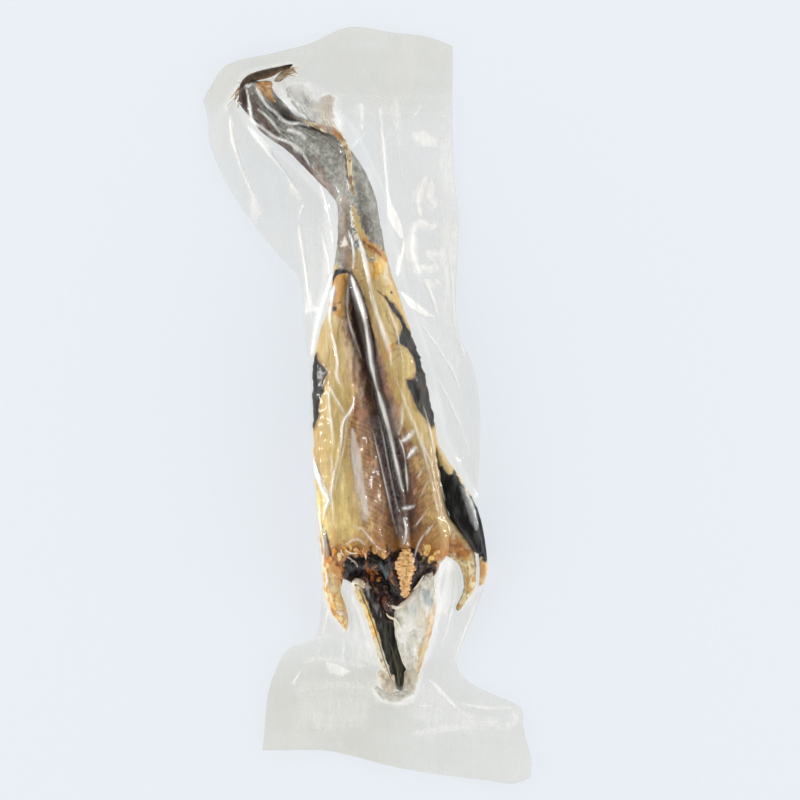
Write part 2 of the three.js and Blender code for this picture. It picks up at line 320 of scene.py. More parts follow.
TAN = linear(214, 188, 124)
TAN_PALE = linear(220, 200, 148)
TAN_DEEP = linear(236, 212, 142)
TAN_GREY = linear(194, 170, 122)
AMBER = linear(214, 158, 66)
ORANGE = linear(210, 130, 48)
RUST = linear(142, 74, 34)
BROWN = linear(158, 118, 82)
MAUVE = linear(126, 96, 84)
DARK_BROWN = linear(68, 44, 34)
BLACK = linear(17, 16, 16)
GREY = linear(150, 149, 141)
GREY_PALE = linear(184, 185, 178)
GREY_DARK = linear(92, 86, 80)
CREAM = linear(236, 220, 180)
BLUE_GREY = linear(158, 170, 176)
PURPLE = linear(76, 54, 58)
GREEN_BLACK = linear(48, 54, 48)
IVORY = linear(242, 238, 224)

# ---------------------------------------------------------------- strips of fish


class Strip:
    """A rounded strip between two edges, rows of (x, y): a grid over its top and back round its underside.

    s is the way along it in millimetres, and q the way across, from -1 at the left edge to 1 at the right.
    colour is one colour for all of it, or one for each point.
    """

    def __init__(self, left, right, middle, thickness, across=32, under=12, above=0.5, boxy=2.2,
                 ends=(4, 4), ragged=0.0, seed=1):
        centre = (left + right) / 2
        run = lengths_along(centre)
        from_end = np.minimum(run / ends[0], (run[-1] - run) / ends[1])
        cap = np.sqrt(np.clip(1 - (1 - np.clip(from_end, 0, 1)) ** 2, 0.0004, 1))
        over = np.linspace(-1, 1, across + 1)
        back = np.linspace(1, -1, under + 1)[1:-1]
        q = np.concatenate([over, back])
        q = 0.6 * q + 0.4 * np.sin(q * np.pi / 2)
        self.is_top = (np.arange(len(q)) <= across)[None, :]
        self.colour = None
        uneven = [1 + ragged * fbm(run / 6, run * 0 + 3.3 * k, 3, seed + 5 * k) for k in (1, 2)]
        reach = np.where(q[None, :] < 0, uneven[0][:, None], uneven[1][:, None]) * cap[:, None] * q[None, :]
        half = (right - left) / 2
        self.x = centre[:, :1] + half[:, :1] * reach
        self.y = centre[:, 1:] + half[:, 1:] * reach
        self.s = np.repeat(run[:, None], len(q), 1)
        self.q = np.repeat(q[None, :], len(run), 0)
        self.fade = np.clip(1 - np.abs(self.q) ** 6, 0, 1) * cap[:, None]
        swell = (thickness * cap)[:, None] * np.clip(1 - np.abs(q) ** boxy, 0, 1)[None, :] ** (1 / boxy)
        middle = middle[:, None]
        self.z = np.where(self.is_top, middle + above * swell, middle - (1 - above) * swell)

    def raise_top(self, dz):
        """Raises the upper side, less and less towards the edges."""
        self.z = self.z + np.where(self.is_top, dz * self.fade, 0)

    def fbm(self, wide, long, octaves, seed):
        """Cloudy noise, with a largest grain of the given width and length in millimetres."""
        return fbm(self.x / wide, self.y / long, octaves, seed)

    def blotch(self, wide, long, seed, low, high, octaves=3):
        """Uneven blotches: 0 where the noise is under low, and 1 where it is over high."""
        return smooth(self.fbm(wide, long, octaves, seed), low, high)

    def patch(self, polygon, *form):
        """1 where the strip is inside a polygon in pixels."""
        return patch(polygon, self.x, self.y, *form)

    def stroke(self, points, *form):
        """1 where the strip is on a line in pixels."""
        return stroke(points, self.x, self.y, *form)

    def spot(self, centre, *form):
        """1 where the strip is in a round spot."""
        return spot(centre, self.x, self.y, *form)

    def paint(self, tone, amount=1.0):
        """Lays a colour over those that are there, as far as amount goes from 0 to 1."""
        self.colour = mix(self.colour, tone, amount)

    def vary(self, share):
        """Makes the colours lighter by a share of themselves, or darker where it is negative."""
        self.colour = self.colour * (1 + share)[..., None]

    def shell(self):
        """Points, faces and point colours of the closed strip, fanned shut at both ends."""
        n, m = self.x.shape
        grid = np.arange(n * m).reshape(n, m)
        after = np.roll(grid, -1, axis=1)
        points = np.stack([self.x, self.y, np.maximum(self.z, LOWEST_FISH)], -1).reshape(-1, 3)
        colours = np.broadcast_to(self.colour, (n, m, 3)).reshape(-1, 3)
        points = np.vstack([points, points[grid[0]].mean(0), points[grid[-1]].mean(0)])
        colours = np.vstack([colours, colours[grid[0]].mean(0), colours[grid[-1]].mean(0)])
        faces = np.stack([grid[:-1], after[:-1], after[1:], grid[1:]], -1).reshape(-1, 4).tolist()
        faces += [[int(after[0, j]), int(grid[0, j]), n * m] for j in range(m)]
        faces += [[int(grid[-1, j]), int(after[-1, j]), n * m + 1] for j in range(m)]
        return points, faces, colours


def ribbon(stations, step=1.2, **options):
    """A strip along a line of stations [x, y, half width, middle height, thickness]."""
    rows = spline(stations, step)
    tangent = np.gradient(rows[:, :2], axis=0)
    tangent /= np.hypot(*tangent.T)[:, None]
    normal = np.stack([tangent[:, 1], -tangent[:, 0]], -1) * rows[:, 2:3]
    return Strip(rows[:, :2] - normal, rows[:, :2] + normal, rows[:, 3], rows[:, 4], **options)


def between(left_px, right_px, middle, thickness, step=0.9, **options):
    """A strip between two edges in pixels. middle and thickness are heights spread evenly along it."""
    left, right = plan(left_px), plan(right_px)
    length = np.hypot(*np.diff(left, axis=0).T).sum()
    count = int(length / step) + 6
    share = np.linspace(0, 1, count)
    heights = [np.interp(share, np.linspace(0, 1, len(h)), h) for h in (middle, thickness)]
    return Strip(spline(left, count=count), spline(right, count=count), *heights, **options)


def add_piece(name, points, faces, material, colours=None, numbers=None):
    """A smooth-shaded piece that rides on the root."""
    mesh = bpy.data.meshes.new(name)
    mesh.from_pydata((points * MM).tolist(), [], faces)
    mesh.update()
    mesh.polygons.foreach_set("use_smooth", np.ones(len(mesh.polygons), bool))
    if colours is not None:
        layer = mesh.attributes.new("paint", "FLOAT_COLOR", "POINT")
        paint = np.c_[np.clip(colours * PAINT_GAIN, 0, 0.95), np.ones(len(colours))]
        layer.data.foreach_set("color", paint.astype(np.float32).ravel())
    for key, values in (numbers or {}).items():
        layer = mesh.attributes.new(key, "FLOAT", "POINT")
        layer.data.foreach_set("value", values.astype(np.float32).ravel())
    mesh.materials.append(material)
    piece = bpy.data.objects.new(name, mesh)
    bpy.context.scene.collection.objects.link(piece)
    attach(piece, "root")
    return piece


NOTHING = -1.0  # the height of the fish where there is none
fish_shells = []


def add_fish(name, parts, material):
    """One piece of fish from painted strips."""
    points, faces, colours, start = [], [], [], 0
    for strip in parts:
        p, f, c = strip.shell()
        faces += [[k + start for k in face] for face in f]
        points.append(p)
        colours.append(c)
        start += len(p)
    points = np.vstack(points)
    fish_shells.append((points, faces))
    add_piece(name, points, faces, material, np.vstack(colours))


def fish_tree():
    """All fish so far, ready to be hit by rays."""
    points, faces, start = [], [], 0
    for p, f in fish_shells:
        points.append(p)
        faces += [[k + start for k in face] for face in f]
        start += len(p)
    return BVHTree.FromPolygons(np.vstack(points).tolist(), faces)


def fish_top(tree, x, y, empty=NOTHING):
    """Height of the fish at one place."""
    hit = tree.ray_cast(Vector((x, y, 100)), Vector((0, 0, -1)))[0]
    return empty if hit is None else hit.z


def rays(strip, count, height, seed):
    """Raises fin rays along a strip, and gives back how far up a ray each point is, from -1 to 1."""
    line = np.sin(strip.q * np.pi * count / 2 + 0.6 * fbm(strip.s / 12, strip.q * 3, 2, seed))
    strip.raise_top(height * line)
    return line


# ---------------------------------------------------------------- trunk

# [x, y, half width, middle height, thickness], from the neck to the root of the tail fin
TRUNK = [
    [20, -198, 3, 10, 8], [20, -190, 8, 11, 11], [20, -180, 17, 12, 15], [20, -170, 28, 13, 21],
    [20, -158, 42, 15, 28], [19, -147, 52, 16, 34], [18, -135, 57.5, 17, 38], [13, -98, 58, 18, 44],
    [8.5, -42, 57.5, 19.4, 46.5], [4.2, 0, 54.2, 19.4, 46.5], [-0.9, 45, 48.1, 19.4, 46],
    [-2, 92, 34, 18, 44], [-5, 124, 26, 17, 39], [-7, 162, 20, 16, 36], [-11, 192, 18, 15, 33],
    [-34, 225, 21, 13, 28], [-68, 252, 17, 11, 24], [-87, 266, 17, 10, 19], [-97, 278, 16, 9.5, 16],
    [-103.5, 287.5, 16, 9, 13], [-106, 295, 11, 8.5, 10], [-107, 300, 8, 8, 6],
]
# [x, y, reach to the left lip, reach to the right lip, depth] of the open belly, from the backbone
BELLY = [
    [34, -179, 26, 24, 4], [32, -147, 32, 38, 9], [30, -124, 35, 42, 13], [28, -87, 36, 37, 15],
    [22, -50, 36, 36, 16], [14, -13, 32, 27, 16], [3, 23, 25, 23, 15], [-5, 60, 22, 17, 14],
    [-12, 97, 13, 11, 10], [-16, 123, 8, 8, 1],
]
BACKBONE_HEIGHT = 6.0
RIB_SPACING = 4.6
RIB_SLANT = 0.7  # millimetres towards the tail for each outwards
NECK_FLOOR = 15.0

BACKBONE_PX = [
    (351, 272), (357, 293), (364, 320), (370, 350), (375, 380), (379, 402), (387, 434), (394, 462),
    (399, 488), (402, 510), (404, 530), (405, 552),
]
GROOVE_PX = [
    (352, 272), (358, 286), (363, 298), (368, 317), (373, 335), (375, 352), (374, 372), (376, 396),
    (382.5, 418), (387, 438), (390.5, 458), (395, 478), (398, 496), (399.5, 508),
]
PURPLE_PX = [
    (371, 416), (379, 415), (384, 436), (388, 456), (392, 476), (396, 496), (400, 512), (403, 536),
    (398, 542), (393, 520), (389, 500), (384, 480), (380, 460), (375, 440),
]
PURPLE_WAVE_PX = [(393, 428), (398, 446), (401, 462), (403, 476), (406, 490)]
GROOVE_WIDTHS = [0.6, 0.7, 0.8, 1.0, 1.6, 2.1, 2.1, 2.1, 1.9, 1.6]  # half widths in millimetres, along it
SIDE_GROOVE_PX = [(365, 362), (370, 376), (374, 388), (377, 405), (383, 424)]
# millimetres to the right of the backbone, and the colour of the hollow's floor there
CAVITY_TONES = [
    (-40, (206, 176, 124)), (-31, (180, 142, 92)), (-23, (156, 114, 68)), (-15, (138, 94, 54)),
    (-9, (112, 80, 58)), (-3, (84, 64, 56)), (3, (104, 80, 70)), (9, (124, 90, 68)), (16, (144, 100, 66)),
    (25, (184, 148, 96)), (36, (208, 180, 120)),
]
CAVITY_PX = [
    (346, 276), (352, 271), (358, 284), (364, 300), (370, 318), (375, 338), (382, 358), (388, 378),
    (394, 398), (401, 417), (412, 440), (424, 455), (431, 472), (436, 499), (438, 526), (438, 545),
    (420, 560), (398, 562), (376, 560), (362, 545), (361, 521), (359, 502), (354, 478), (350, 451),
    (348, 425), (353, 402), (357, 385), (354, 365), (349, 339), (346, 322), (350, 308), (348, 294),
]
DARK_HOLLOW_PX = [
    (348, 272), (352, 276), (357, 288), (362, 306), (366, 324), (370, 345), (374, 366), (378, 385),
    (372, 380), (366, 366), (360, 350), (354, 330), (352, 306), (349, 290),
]
LEFT_LOBE_PX = [
    (330, 322), (338, 318), (346, 328), (351, 350), (357, 382), (353, 400), (348, 425), (350, 451),
    (354, 476), (360, 502), (362, 534), (350, 550), (322, 550), (310, 520), (305, 440), (305, 380),
    (316, 345),
]
LEFT_LINING_PX = [
    (315, 356), (317, 354), (319.5, 361), (326, 369), (327, 374), (324.5, 386), (321.5, 396), (319, 403),
    (320, 411), (315, 428), (306, 432), (304, 373),
]
RIGHT_LINING_PX = [
    (385, 297), (388, 301), (393, 304.5), (401, 315), (408, 329), (413, 337), (419, 350), (428, 366),
    (438, 396), (438, 420), (431.5, 428), (424, 417), (417, 409), (413, 399), (408, 388), (406, 380),
    (414, 379), (416, 370), (413.5, 358), (407, 348), (397, 343), (400, 336), (402.5, 328), (399, 319),
    (393, 313), (390, 308),
]
VENT_LOBE_PX = [
    (331, 282), (336, 276), (341, 274), (347, 276), (348, 288), (344, 298), (343, 306), (346, 316),
    (339, 318), (331, 312), (327, 302), (328, 290),
]
VENT_LINE_PX = [(332, 283), (334, 277.5), (338, 272.5), (343, 271), (348, 272), (352, 274.5)]
MEMBRANE_PX = [
    (338, 296), (350, 296), (353, 330), (360, 362), (366, 384), (362, 400), (356, 398), (350, 376),
    (345, 348), (339, 322),
]
NECK_HOLLOW_PX = [
    (343, 562), (349, 556), (358, 555), (365, 553), (371, 549), (377, 556), (384, 558), (392, 553),
    (398, 549), (414, 547), (420, 553), (428, 558), (434, 562), (436, 574), (426, 582), (418, 594),
    (410, 608), (400, 622), (388, 620), (376, 604), (364, 590), (350, 584), (342, 574),
]
NECK_HOLES_PX = [
    [(346, 562), (352, 558), (364, 558), (367, 565), (363, 574), (355, 580), (347, 574)],
    [(378, 582), (384, 581), (391, 586), (398, 590), (403, 598), (396, 602), (386, 592)],
    [(370, 552), (378, 554), (384, 562), (376, 562), (370, 558)],
]
BROWN_SKIN_PX = [(250, 98), (257, 104), (268, 118), (282, 134), (276, 138), (262, 126), (252, 118)]
BACK_SKIN_PX = [(268, 96), (280, 100), (296, 114), (312, 122), (306, 128), (288, 122), (274, 110)]
DARK_SKIN_PX = [
    (252, 118), (262, 124), (276, 136), (290, 146), (303, 158), (316, 174), (331, 202), (316, 190),
    (296, 162), (274, 140), (256, 128),
]
FIN_ROOT_PX = [(255, 79), (263, 79), (273, 77), (273, 88), (273, 97), (276, 102), (268, 99), (262, 93),
               (257, 87)]
BARE_END_PX = [(237, 88), (245, 86), (247, 97), (250, 108), (253, 121), (246, 116), (237, 104)]
RIDGE_SHADE_PX = [(262, 104), (277, 116), (300, 124), (320, 131), (338, 139), (346, 150), (349, 170),
                  (351, 190)]
TAIL_BROWN_PX = [(345, 200), (345, 222), (344, 240), (345, 256), (348, 268)]
WRINKLES_PX = [
    [(386, 316), (391, 326), (399, 336)], [(388, 347), (394, 344), (401, 343)],
    [(389, 353), (396, 349), (405, 350)], [(392, 362), (398, 355), (406, 352)],
    [(384, 330), (391, 334), (399, 338)], [(328, 338), (330, 352), (329, 366)],
    [(366, 255), (372, 262), (376, 274)], [(380, 300), (386, 312), (389, 324)],
    [(341, 320), (338, 334), (341, 348)],
]
SPECKLE_PX = [(351, 206), (353, 228), (356, 240), (361, 250), (366, 257), (374, 262)]
ZIGZAG_PX = [(353, 209), (356, 217), (357, 226), (361, 235), (366, 243), (372, 248), (379, 253), (386, 260)]
ZIGZAG_DARK_PX = [(364, 243), (369, 247), (375, 250), (381, 256)]
AMBER_BUMP_PX = [(367, 266), (373, 262), (380, 261), (385, 266), (383, 273), (375, 280), (367, 276)]
PALE_BUMP_PX = [(386, 258), (390, 266), (390, 275), (392, 284), (386, 284), (382, 277), (386, 270)]
TAN_FLANK_PX = [(353, 258), (363, 262), (368, 276), (362, 284), (352, 272)]
FLESH_START = 270  # pixel height at which the skin of the tail gives way to bare flesh
TAIL_MAUVE_PX = [(313, 158), (324, 166), (336, 196), (332, 206), (318, 188)]
TAIL_DARK_LINE_PX = [(350, 214), (351, 226), (352, 236)]
TAIL_TAN_LINE_PX = [(348, 244), (350, 256), (349, 268)]
PALE_SCALE_PX = [(345, 236), (348, 246), (341, 247)]
VENT_SPOT_PX = (334.8, 309.2)
VENT_CRACK_PX = [(327, 303), (334, 305), (341, 303)]
FLANK_SPOT_PX = (391.5, 293)
FLANK_CRACK_PX = [(377, 291), (384, 297), (389, 303), (396, 305)]
FLANK_EDGE_PX = [(384, 254), (389, 264), (390, 276), (400, 296), (408, 314)]
RUSTY_STREAK_PX = [(397, 343), (389, 350), (386, 362)]
BLUE_EDGE_PX = [(322, 524), (325, 540), (327, 556)]
BLACK_EDGE_PX = [(326, 530), (329, 545), (331, 554)]
TAIL_MIDDLE_PX = ([140, 200, 258], [348, 358, 362])  # pixel heights, and where the ridge is at each


def belly_depth(x, y):
    """How far the open belly sinks, and the backbone's depth under its lips."""
    b = spline(BELLY, 2.0)
    k = np.clip(np.searchsorted(b[:, 1], y), 0, len(b) - 1)
    right = x - b[k, 0]
    beyond = np.maximum(np.abs(y - b[k, 1]) - 2.0, 0)
    reach = np.where(right < 0, b[k, 2], b[k, 3])
    depth = b[k, 4]
    sink = depth * (1 - smooth(np.abs(right) / reach)) * (1 - smooth(beyond / 8))
    return sink, depth * (1 - smooth(beyond / 6))


def shape_trunk(t, right, ribs, rib_wave, masks):
    """Sinks the belly, and raises the backbone, ribs, lobes and torn edges."""
    x, y = t.x, t.y
    sink, depth = belly_depth(x, y)
    on_ridge = 1 - smooth(np.abs(right), 0.5, 6.5)
    beads = 1 + 0.1 * np.sin(t.s * 2 * np.pi / 5.6)
    dz = np.minimum(depth, BACKBONE_HEIGHT) * on_ridge * beads - sink
    dz += (0.5 * rib_wave * masks["cavity"] - 0.4 * ribs * masks["cavity"]) * (1 - on_ridge)
    dz += 0.9 * fbm(x / 14, y / 30, 4, 11) + 0.25 * fbm(x / 3.5, y / 7, 3, 21)
    dz += (1.2 * masks["lobe"] - 1.4 * masks["lining"] - 1.6 * masks["groove"] * smooth(depth, 2, 6)
           - 0.6 * masks["side_groove"])
    dz += 0.9 * masks["zigzag"] + 0.5 * masks["speckles"] + 1.5 * t.patch(AMBER_BUMP_PX, 4, 1, 4, 26)
    t.raise_top(dz)
    floor = NECK_FLOOR + 1.6 * fbm(x / 4, y / 4, 3, 27)
    t.z = np.where(t.is_top, t.z + np.minimum(floor - t.z, 0) * masks["neck"] * t.fade, t.z)


def paint_flesh(t, x_px, y_px, right):
    """The bare flesh: tan, browner towards the belly, partly as painted shade, with streaks along the fish.
    """
    t.colour = mix(TAN, TAN_PALE, 0.2 + 0.9 * t.fbm(24, 45, 3, 31))
    t.paint(linear(206, 183, 130), 0.9 * smooth(y_px, 440, 330))
    t.paint(TAN_DEEP, 0.9 * smooth(y_px, 450, 510) * smooth(x_px, 380, 350))
    # darker at the lobe's left edge: partly its olive tone, partly painted shade where the flesh turns down
    t.paint(linear(190, 158, 100), 0.8 * smooth(x_px, 332, 318) * smooth(np.abs(y_px - 440), 60, 20))
    t.paint(TAN_GREY, 0.85 * smooth(right, 18, 34) * smooth(y_px, 385, 440))
    t.paint(linear(190, 152, 88), 0.5 * t.blotch(7, 22, 41, 0.1, 0.8))
    t.paint(linear(190, 164, 112), 0.6 * t.blotch(5, 30, 42, 0.1, 0.7))
    t.vary(0.1 * t.fbm(2, 12, 3, 43))
    # browner towards the hollow's rim: partly the flesh's colour, partly painted shade going into the
    # hollow
    lip = within(CAVITY_PX, t.x, t.y) + 3 * t.fbm(6, 12, 2, 45)
    t.paint(linear(170, 132, 78), 0.55 * smooth(lip, -11, 0))


def cavity_colour(t, right, ribs):
    """The hollow's floor: brown across it as in the list of tones, with dark ribs."""
    stops = [d for d, _ in CAVITY_TONES]
    tones = np.array([linear(*c) for _, c in CAVITY_TONES])
    shifted = right + 4.5 * t.fbm(6, 10, 3, 49)
    c = np.stack([np.interp(shifted, stops, tones[:, k]) for k in range(3)], -1)
    aside = np.abs(right)
    c = mix(c, linear(196, 166, 116), 0.5 * t.blotch(4, 8, 55, 0.1, 0.8, 4) * smooth(aside, 5, 12))
    c = mix(c, linear(150, 92, 62), 0.4 * t.blotch(7, 9, 56, 0.1, 0.8) * smooth(aside, 3, 9))
    c = c * (1 + 0.32 * t.fbm(2.2, 3.2, 3, 57))[..., None]
    dark = np.where(right < 0, 0.85, 0.5) * t.blotch(4, 4, 61, -0.6, 0.4, 2) * smooth(aside, 3, 8)
    return mix(c, DARK_BROWN, dark * ribs)


def paint_belly(t, right, ribs, masks):
    """The open belly, with the dark hollow, the purple strip and the black grooves along the backbone."""
    t.paint(cavity_colour(t, right, ribs), masks["cavity"])
    membrane_tone = mix(linear(206, 178, 144), linear(136, 98, 74), 0.5 + 1.1 * t.fbm(3, 7, 4, 65))
    t.paint(membrane_tone, 0.85 * t.patch(MEMBRANE_PX, 1.8, 2.6, 5, 67))
    t.paint(DARK_BROWN * 0.85, 0.93 * t.patch(DARK_HOLLOW_PX, 1.6, 1.4, 6, 71))
    purple = mix(linear(140, 122, 116), linear(84, 70, 72), 0.5 + 0.9 * t.fbm(1.6, 2.2, 3, 72))
    t.paint(purple, 0.85 * t.patch(PURPLE_PX, 0.8, 0.8, 3, 73))
    t.paint(purple * 0.9, 0.85 * t.stroke(PURPLE_WAVE_PX, [1.2, 2.6, 2.2, 2.6, 1.4], 0.8, 1.6, 2.5, 74))
    t.paint(BLACK, 0.95 * masks["groove"])
    t.paint(BLACK * 1.4, 0.8 * masks["side_groove"])


def paint_vent(t):
    """The amber lobe at the belly's end, its black rim, and the marks beside it."""
    lobe_tone = mix(linear(186, 142, 76), linear(200, 170, 118), 0.3 + t.fbm(5, 9, 3, 79))
    lobe_tone = mix(lobe_tone, linear(190, 130, 58), 0.6 * t.blotch(4, 6, 80, 0.1, 0.6))
    t.paint(lobe_tone, t.patch(VENT_LOBE_PX, 1.2, 1.2, 5, 81))
    t.paint(BLACK, t.stroke(VENT_LINE_PX, [0.5, 1.2, 2.3, 2.6, 1.8, 0.8], 0.5, 0.6))
    t.paint(BLACK, t.spot(VENT_SPOT_PX, 2.3))
    t.paint(RUST * 0.6, t.stroke(VENT_CRACK_PX, 0.5, 0.4))
    t.paint(BLACK, t.spot(FLANK_SPOT_PX, 1.2, 0.5))
    t.paint(DARK_BROWN, 0.8 * t.stroke(FLANK_CRACK_PX, 0.45, 0.4))
    t.paint(ORANGE, 0.7 * t.stroke(RUSTY_STREAK_PX, [0.8, 1.6, 0.5], 0.7))


def skin_colour(t, x_px, y_px):
    """The grey, speckled skin of the tail, with dark, brown and rusty places."""
    flesh_colour = t.colour
    t.colour = mix(GREY_DARK, GREY, 0.75 + 0.7 * t.fbm(6, 6, 4, 91))
    pale = (0.45 + 0.55 * t.blotch(9, 14, 95, -0.4, 0.4)) * smooth(y_px, 116, 145)
    t.paint(GREY_PALE, pale * smooth(y_px, 240, 180))
    right_of_ridge = smooth(x_px - np.interp(y_px, *TAIL_MIDDLE_PX), -2, 3)
    t.paint(mix(GREY_DARK, GREY, 0.55 + 0.6 * t.fbm(5, 9, 4, 94)), 0.8 * right_of_ridge)
    t.vary(0.36 * t.fbm(1.6, 1.6, 3, 89))
    t.paint(linear(88, 66, 54), 0.75 * t.patch(BROWN_SKIN_PX, 2.0, 2.0, 6, 92))
    t.paint(linear(60, 54, 48), 0.9 * t.patch(BACK_SKIN_PX, 2.0, 1.5, 6, 93))
    t.paint(DARK_BROWN, t.patch(DARK_SKIN_PX, 1.5, 2.0, 6, 96) * 0.9)
    t.paint(DARK_BROWN * 0.7, t.patch(BARE_END_PX, 1.0, 0.8, 4, 97))
    rusty = mix(linear(168, 118, 68), linear(196, 162, 112), 0.3 + t.fbm(3, 3, 3, 100))
    t.paint(rusty, t.patch(FIN_ROOT_PX, 1.0, 1.0, 4, 102))
    t.paint(MAUVE, 0.6 * t.patch(TAIL_MAUVE_PX, 2.5, 3, 6, 98))
    t.paint(BLACK * 1.6, 0.7 * t.stroke(RIDGE_SHADE_PX, [1.5, 2, 2.4, 2.6, 1.4], 1.2, 1.4, 4, 99))
    fibres = ridged(t.q * 9, t.s / 22, 101, 5) * smooth(t.s, t.s.max() - 130, t.s.max() - 90)
    t.paint(BLACK * 1.5, 0.55 * fibres)
    skin_tone, t.colour = t.colour, flesh_colour
    return skin_tone


def paint_tail_root(t, y_px, masks):
    """Where skin gives way to flesh: brown lines, pale and amber bumps, and a zigzag torn edge."""
    brown_tone = mix(linear(166, 140, 114), linear(138, 112, 94), 0.5 + t.fbm(3, 5, 3, 102))
    t.paint(brown_tone, 0.5 * t.stroke(TAIL_BROWN_PX, [2, 4, 5, 5, 3], 2.5, 2.0))
    t.paint(linear(92, 62, 50), 0.8 * t.stroke(TAIL_DARK_LINE_PX, [0.6, 1.2, 0.6], 0.7, 0.5))
    t.paint(linear(180, 142, 100), 0.6 * t.stroke(TAIL_TAN_LINE_PX, [1, 2, 2], 1.2, 1.4))
    t.paint(IVORY, 0.75 * t.patch(PALE_SCALE_PX, 1.0, 0.8, 2))
    flank_tone = mix(linear(204, 176, 126), linear(150, 122, 88), t.blotch(1.8, 1.8, 101, -0.2, 0.6))
    t.paint(flank_tone, 0.8 * t.patch(TAN_FLANK_PX, 2, 2, 4, 100))
    t.paint(linear(216, 206, 186), 0.6 * t.patch(PALE_BUMP_PX, 1.6, 1.6, 3, 109))
    t.paint(linear(168, 136, 88), 0.7 * t.stroke(FLANK_EDGE_PX, 1.1, 1.0))
    browner = smooth(y_px + 5 * t.fbm(2.5, 3.5, 3, 104), 230, 246)
    t.paint(mix(linear(210, 180, 120), linear(190, 134, 70), browner), masks["zigzag"] * 0.92)
    t.paint(linear(110, 66, 36), 0.85 * t.stroke(ZIGZAG_DARK_PX, [0.5, 1.3, 1.5, 0.6], 0.8, 0.8, 2.5))
    t.paint(mix(IVORY, BLUE_GREY * 0.5, t.blotch(1.5, 1.5, 103, -0.2, 0.4, 2)), masks["speckles"] * 0.8)
    bump_tone = mix(linear(214, 164, 78), linear(222, 188, 118), 0.3 + t.fbm(4, 4, 3, 108))
    t.paint(bump_tone, 0.95 * t.patch(AMBER_BUMP_PX, 1.8, 1.6, 4, 105))


def paint_neck(t, y_px, masks):
    """The cut neck: amber above it, and a dark, wet floor with black holes."""
    amber_tone = mix(linear(172, 104, 40), linear(186, 140, 76), 0.5 + t.fbm(3, 3, 3, 106))
    t.paint(amber_tone, 0.85 * smooth(y_px + 7 * t.fbm(4, 4, 3, 103), 538, 552))
    t.paint(linear(176, 122, 60), 0.55 * smooth(y_px + 7 * t.fbm(5, 5, 3, 107), 522, 546))
    floor_tone = mix(PURPLE, DARK_BROWN, 0.5 + t.fbm(4, 6, 3, 109))
    floor_tone = mix(floor_tone, RUST, 0.6 * t.blotch(2.4, 2.4, 110, 0.3, 0.8))
    t.paint(floor_tone, masks["neck"])
    for k, hole in enumerate(NECK_HOLES_PX):
        t.paint(BLACK, t.patch(hole, 0.9, 1.4, 3, 107 + k))


def paint_linings(t, masks):
    """The black linings with their brown edges, partly painted shade, the wrinkles, and the marks on the
    left edge.
    """
    # brown rim round the sunken linings: partly the flesh's colour, partly painted shade at the step down
    edge = np.maximum(within(LEFT_LINING_PX, t.x, t.y), within(RIGHT_LINING_PX, t.x, t.y))
    t.paint(linear(132, 96, 58), 0.6 * smooth(edge + 0.8 * t.fbm(4, 4, 2, 118), -3.0, -0.4))
    for wrinkle in WRINKLES_PX:
        t.paint(linear(126, 86, 50), 0.6 * t.stroke(wrinkle, [0.2, 0.5, 0.2], 0.5, 0.3))
    t.paint(mix(BLACK, linear(66, 58, 48), 0.1 + 0.9 * t.fbm(3, 10, 3, 119)), masks["lining"])
    t.paint(BLUE_GREY, 0.7 * t.stroke(BLUE_EDGE_PX, [0.8, 1.6, 0.8]))
    t.paint(BLACK, 0.9 * t.stroke(BLACK_EDGE_PX, [0.5, 1.2, 1.6]))


def trunk_masks(t):
    """Where each part of the trunk's surface is, from 0 to 1."""
    return {
        "cavity": t.patch(CAVITY_PX, 2.6, 1.6, 6, 13),
        "lining": np.maximum(t.patch(LEFT_LINING_PX, 0.5, 1.6, 5, 113),
                             t.patch(RIGHT_LINING_PX, 0.5, 0.5, 3, 117)),
        "lobe": t.patch(LEFT_LOBE_PX, 1.4, 1.2, 8, 15),
        "groove": t.stroke(GROOVE_PX, GROOVE_WIDTHS, 0.7, 0.3, 3, 17),
        "side_groove": t.stroke(SIDE_GROOVE_PX, [0.5, 1.1, 0.5], 0.5),
        "neck": t.patch(NECK_HOLLOW_PX, 1.6, 2.2, 3.5, 19),
        "speckles": t.stroke(SPECKLE_PX, [1, 2.2, 2.6, 2.2, 1], 0.8, 1.4, 2.4, 23),
        "zigzag": t.stroke(ZIGZAG_PX, [2.2, 3.4, 3.2, 3.2, 2.0], 0.9, 1.4, 3, 25),
    }


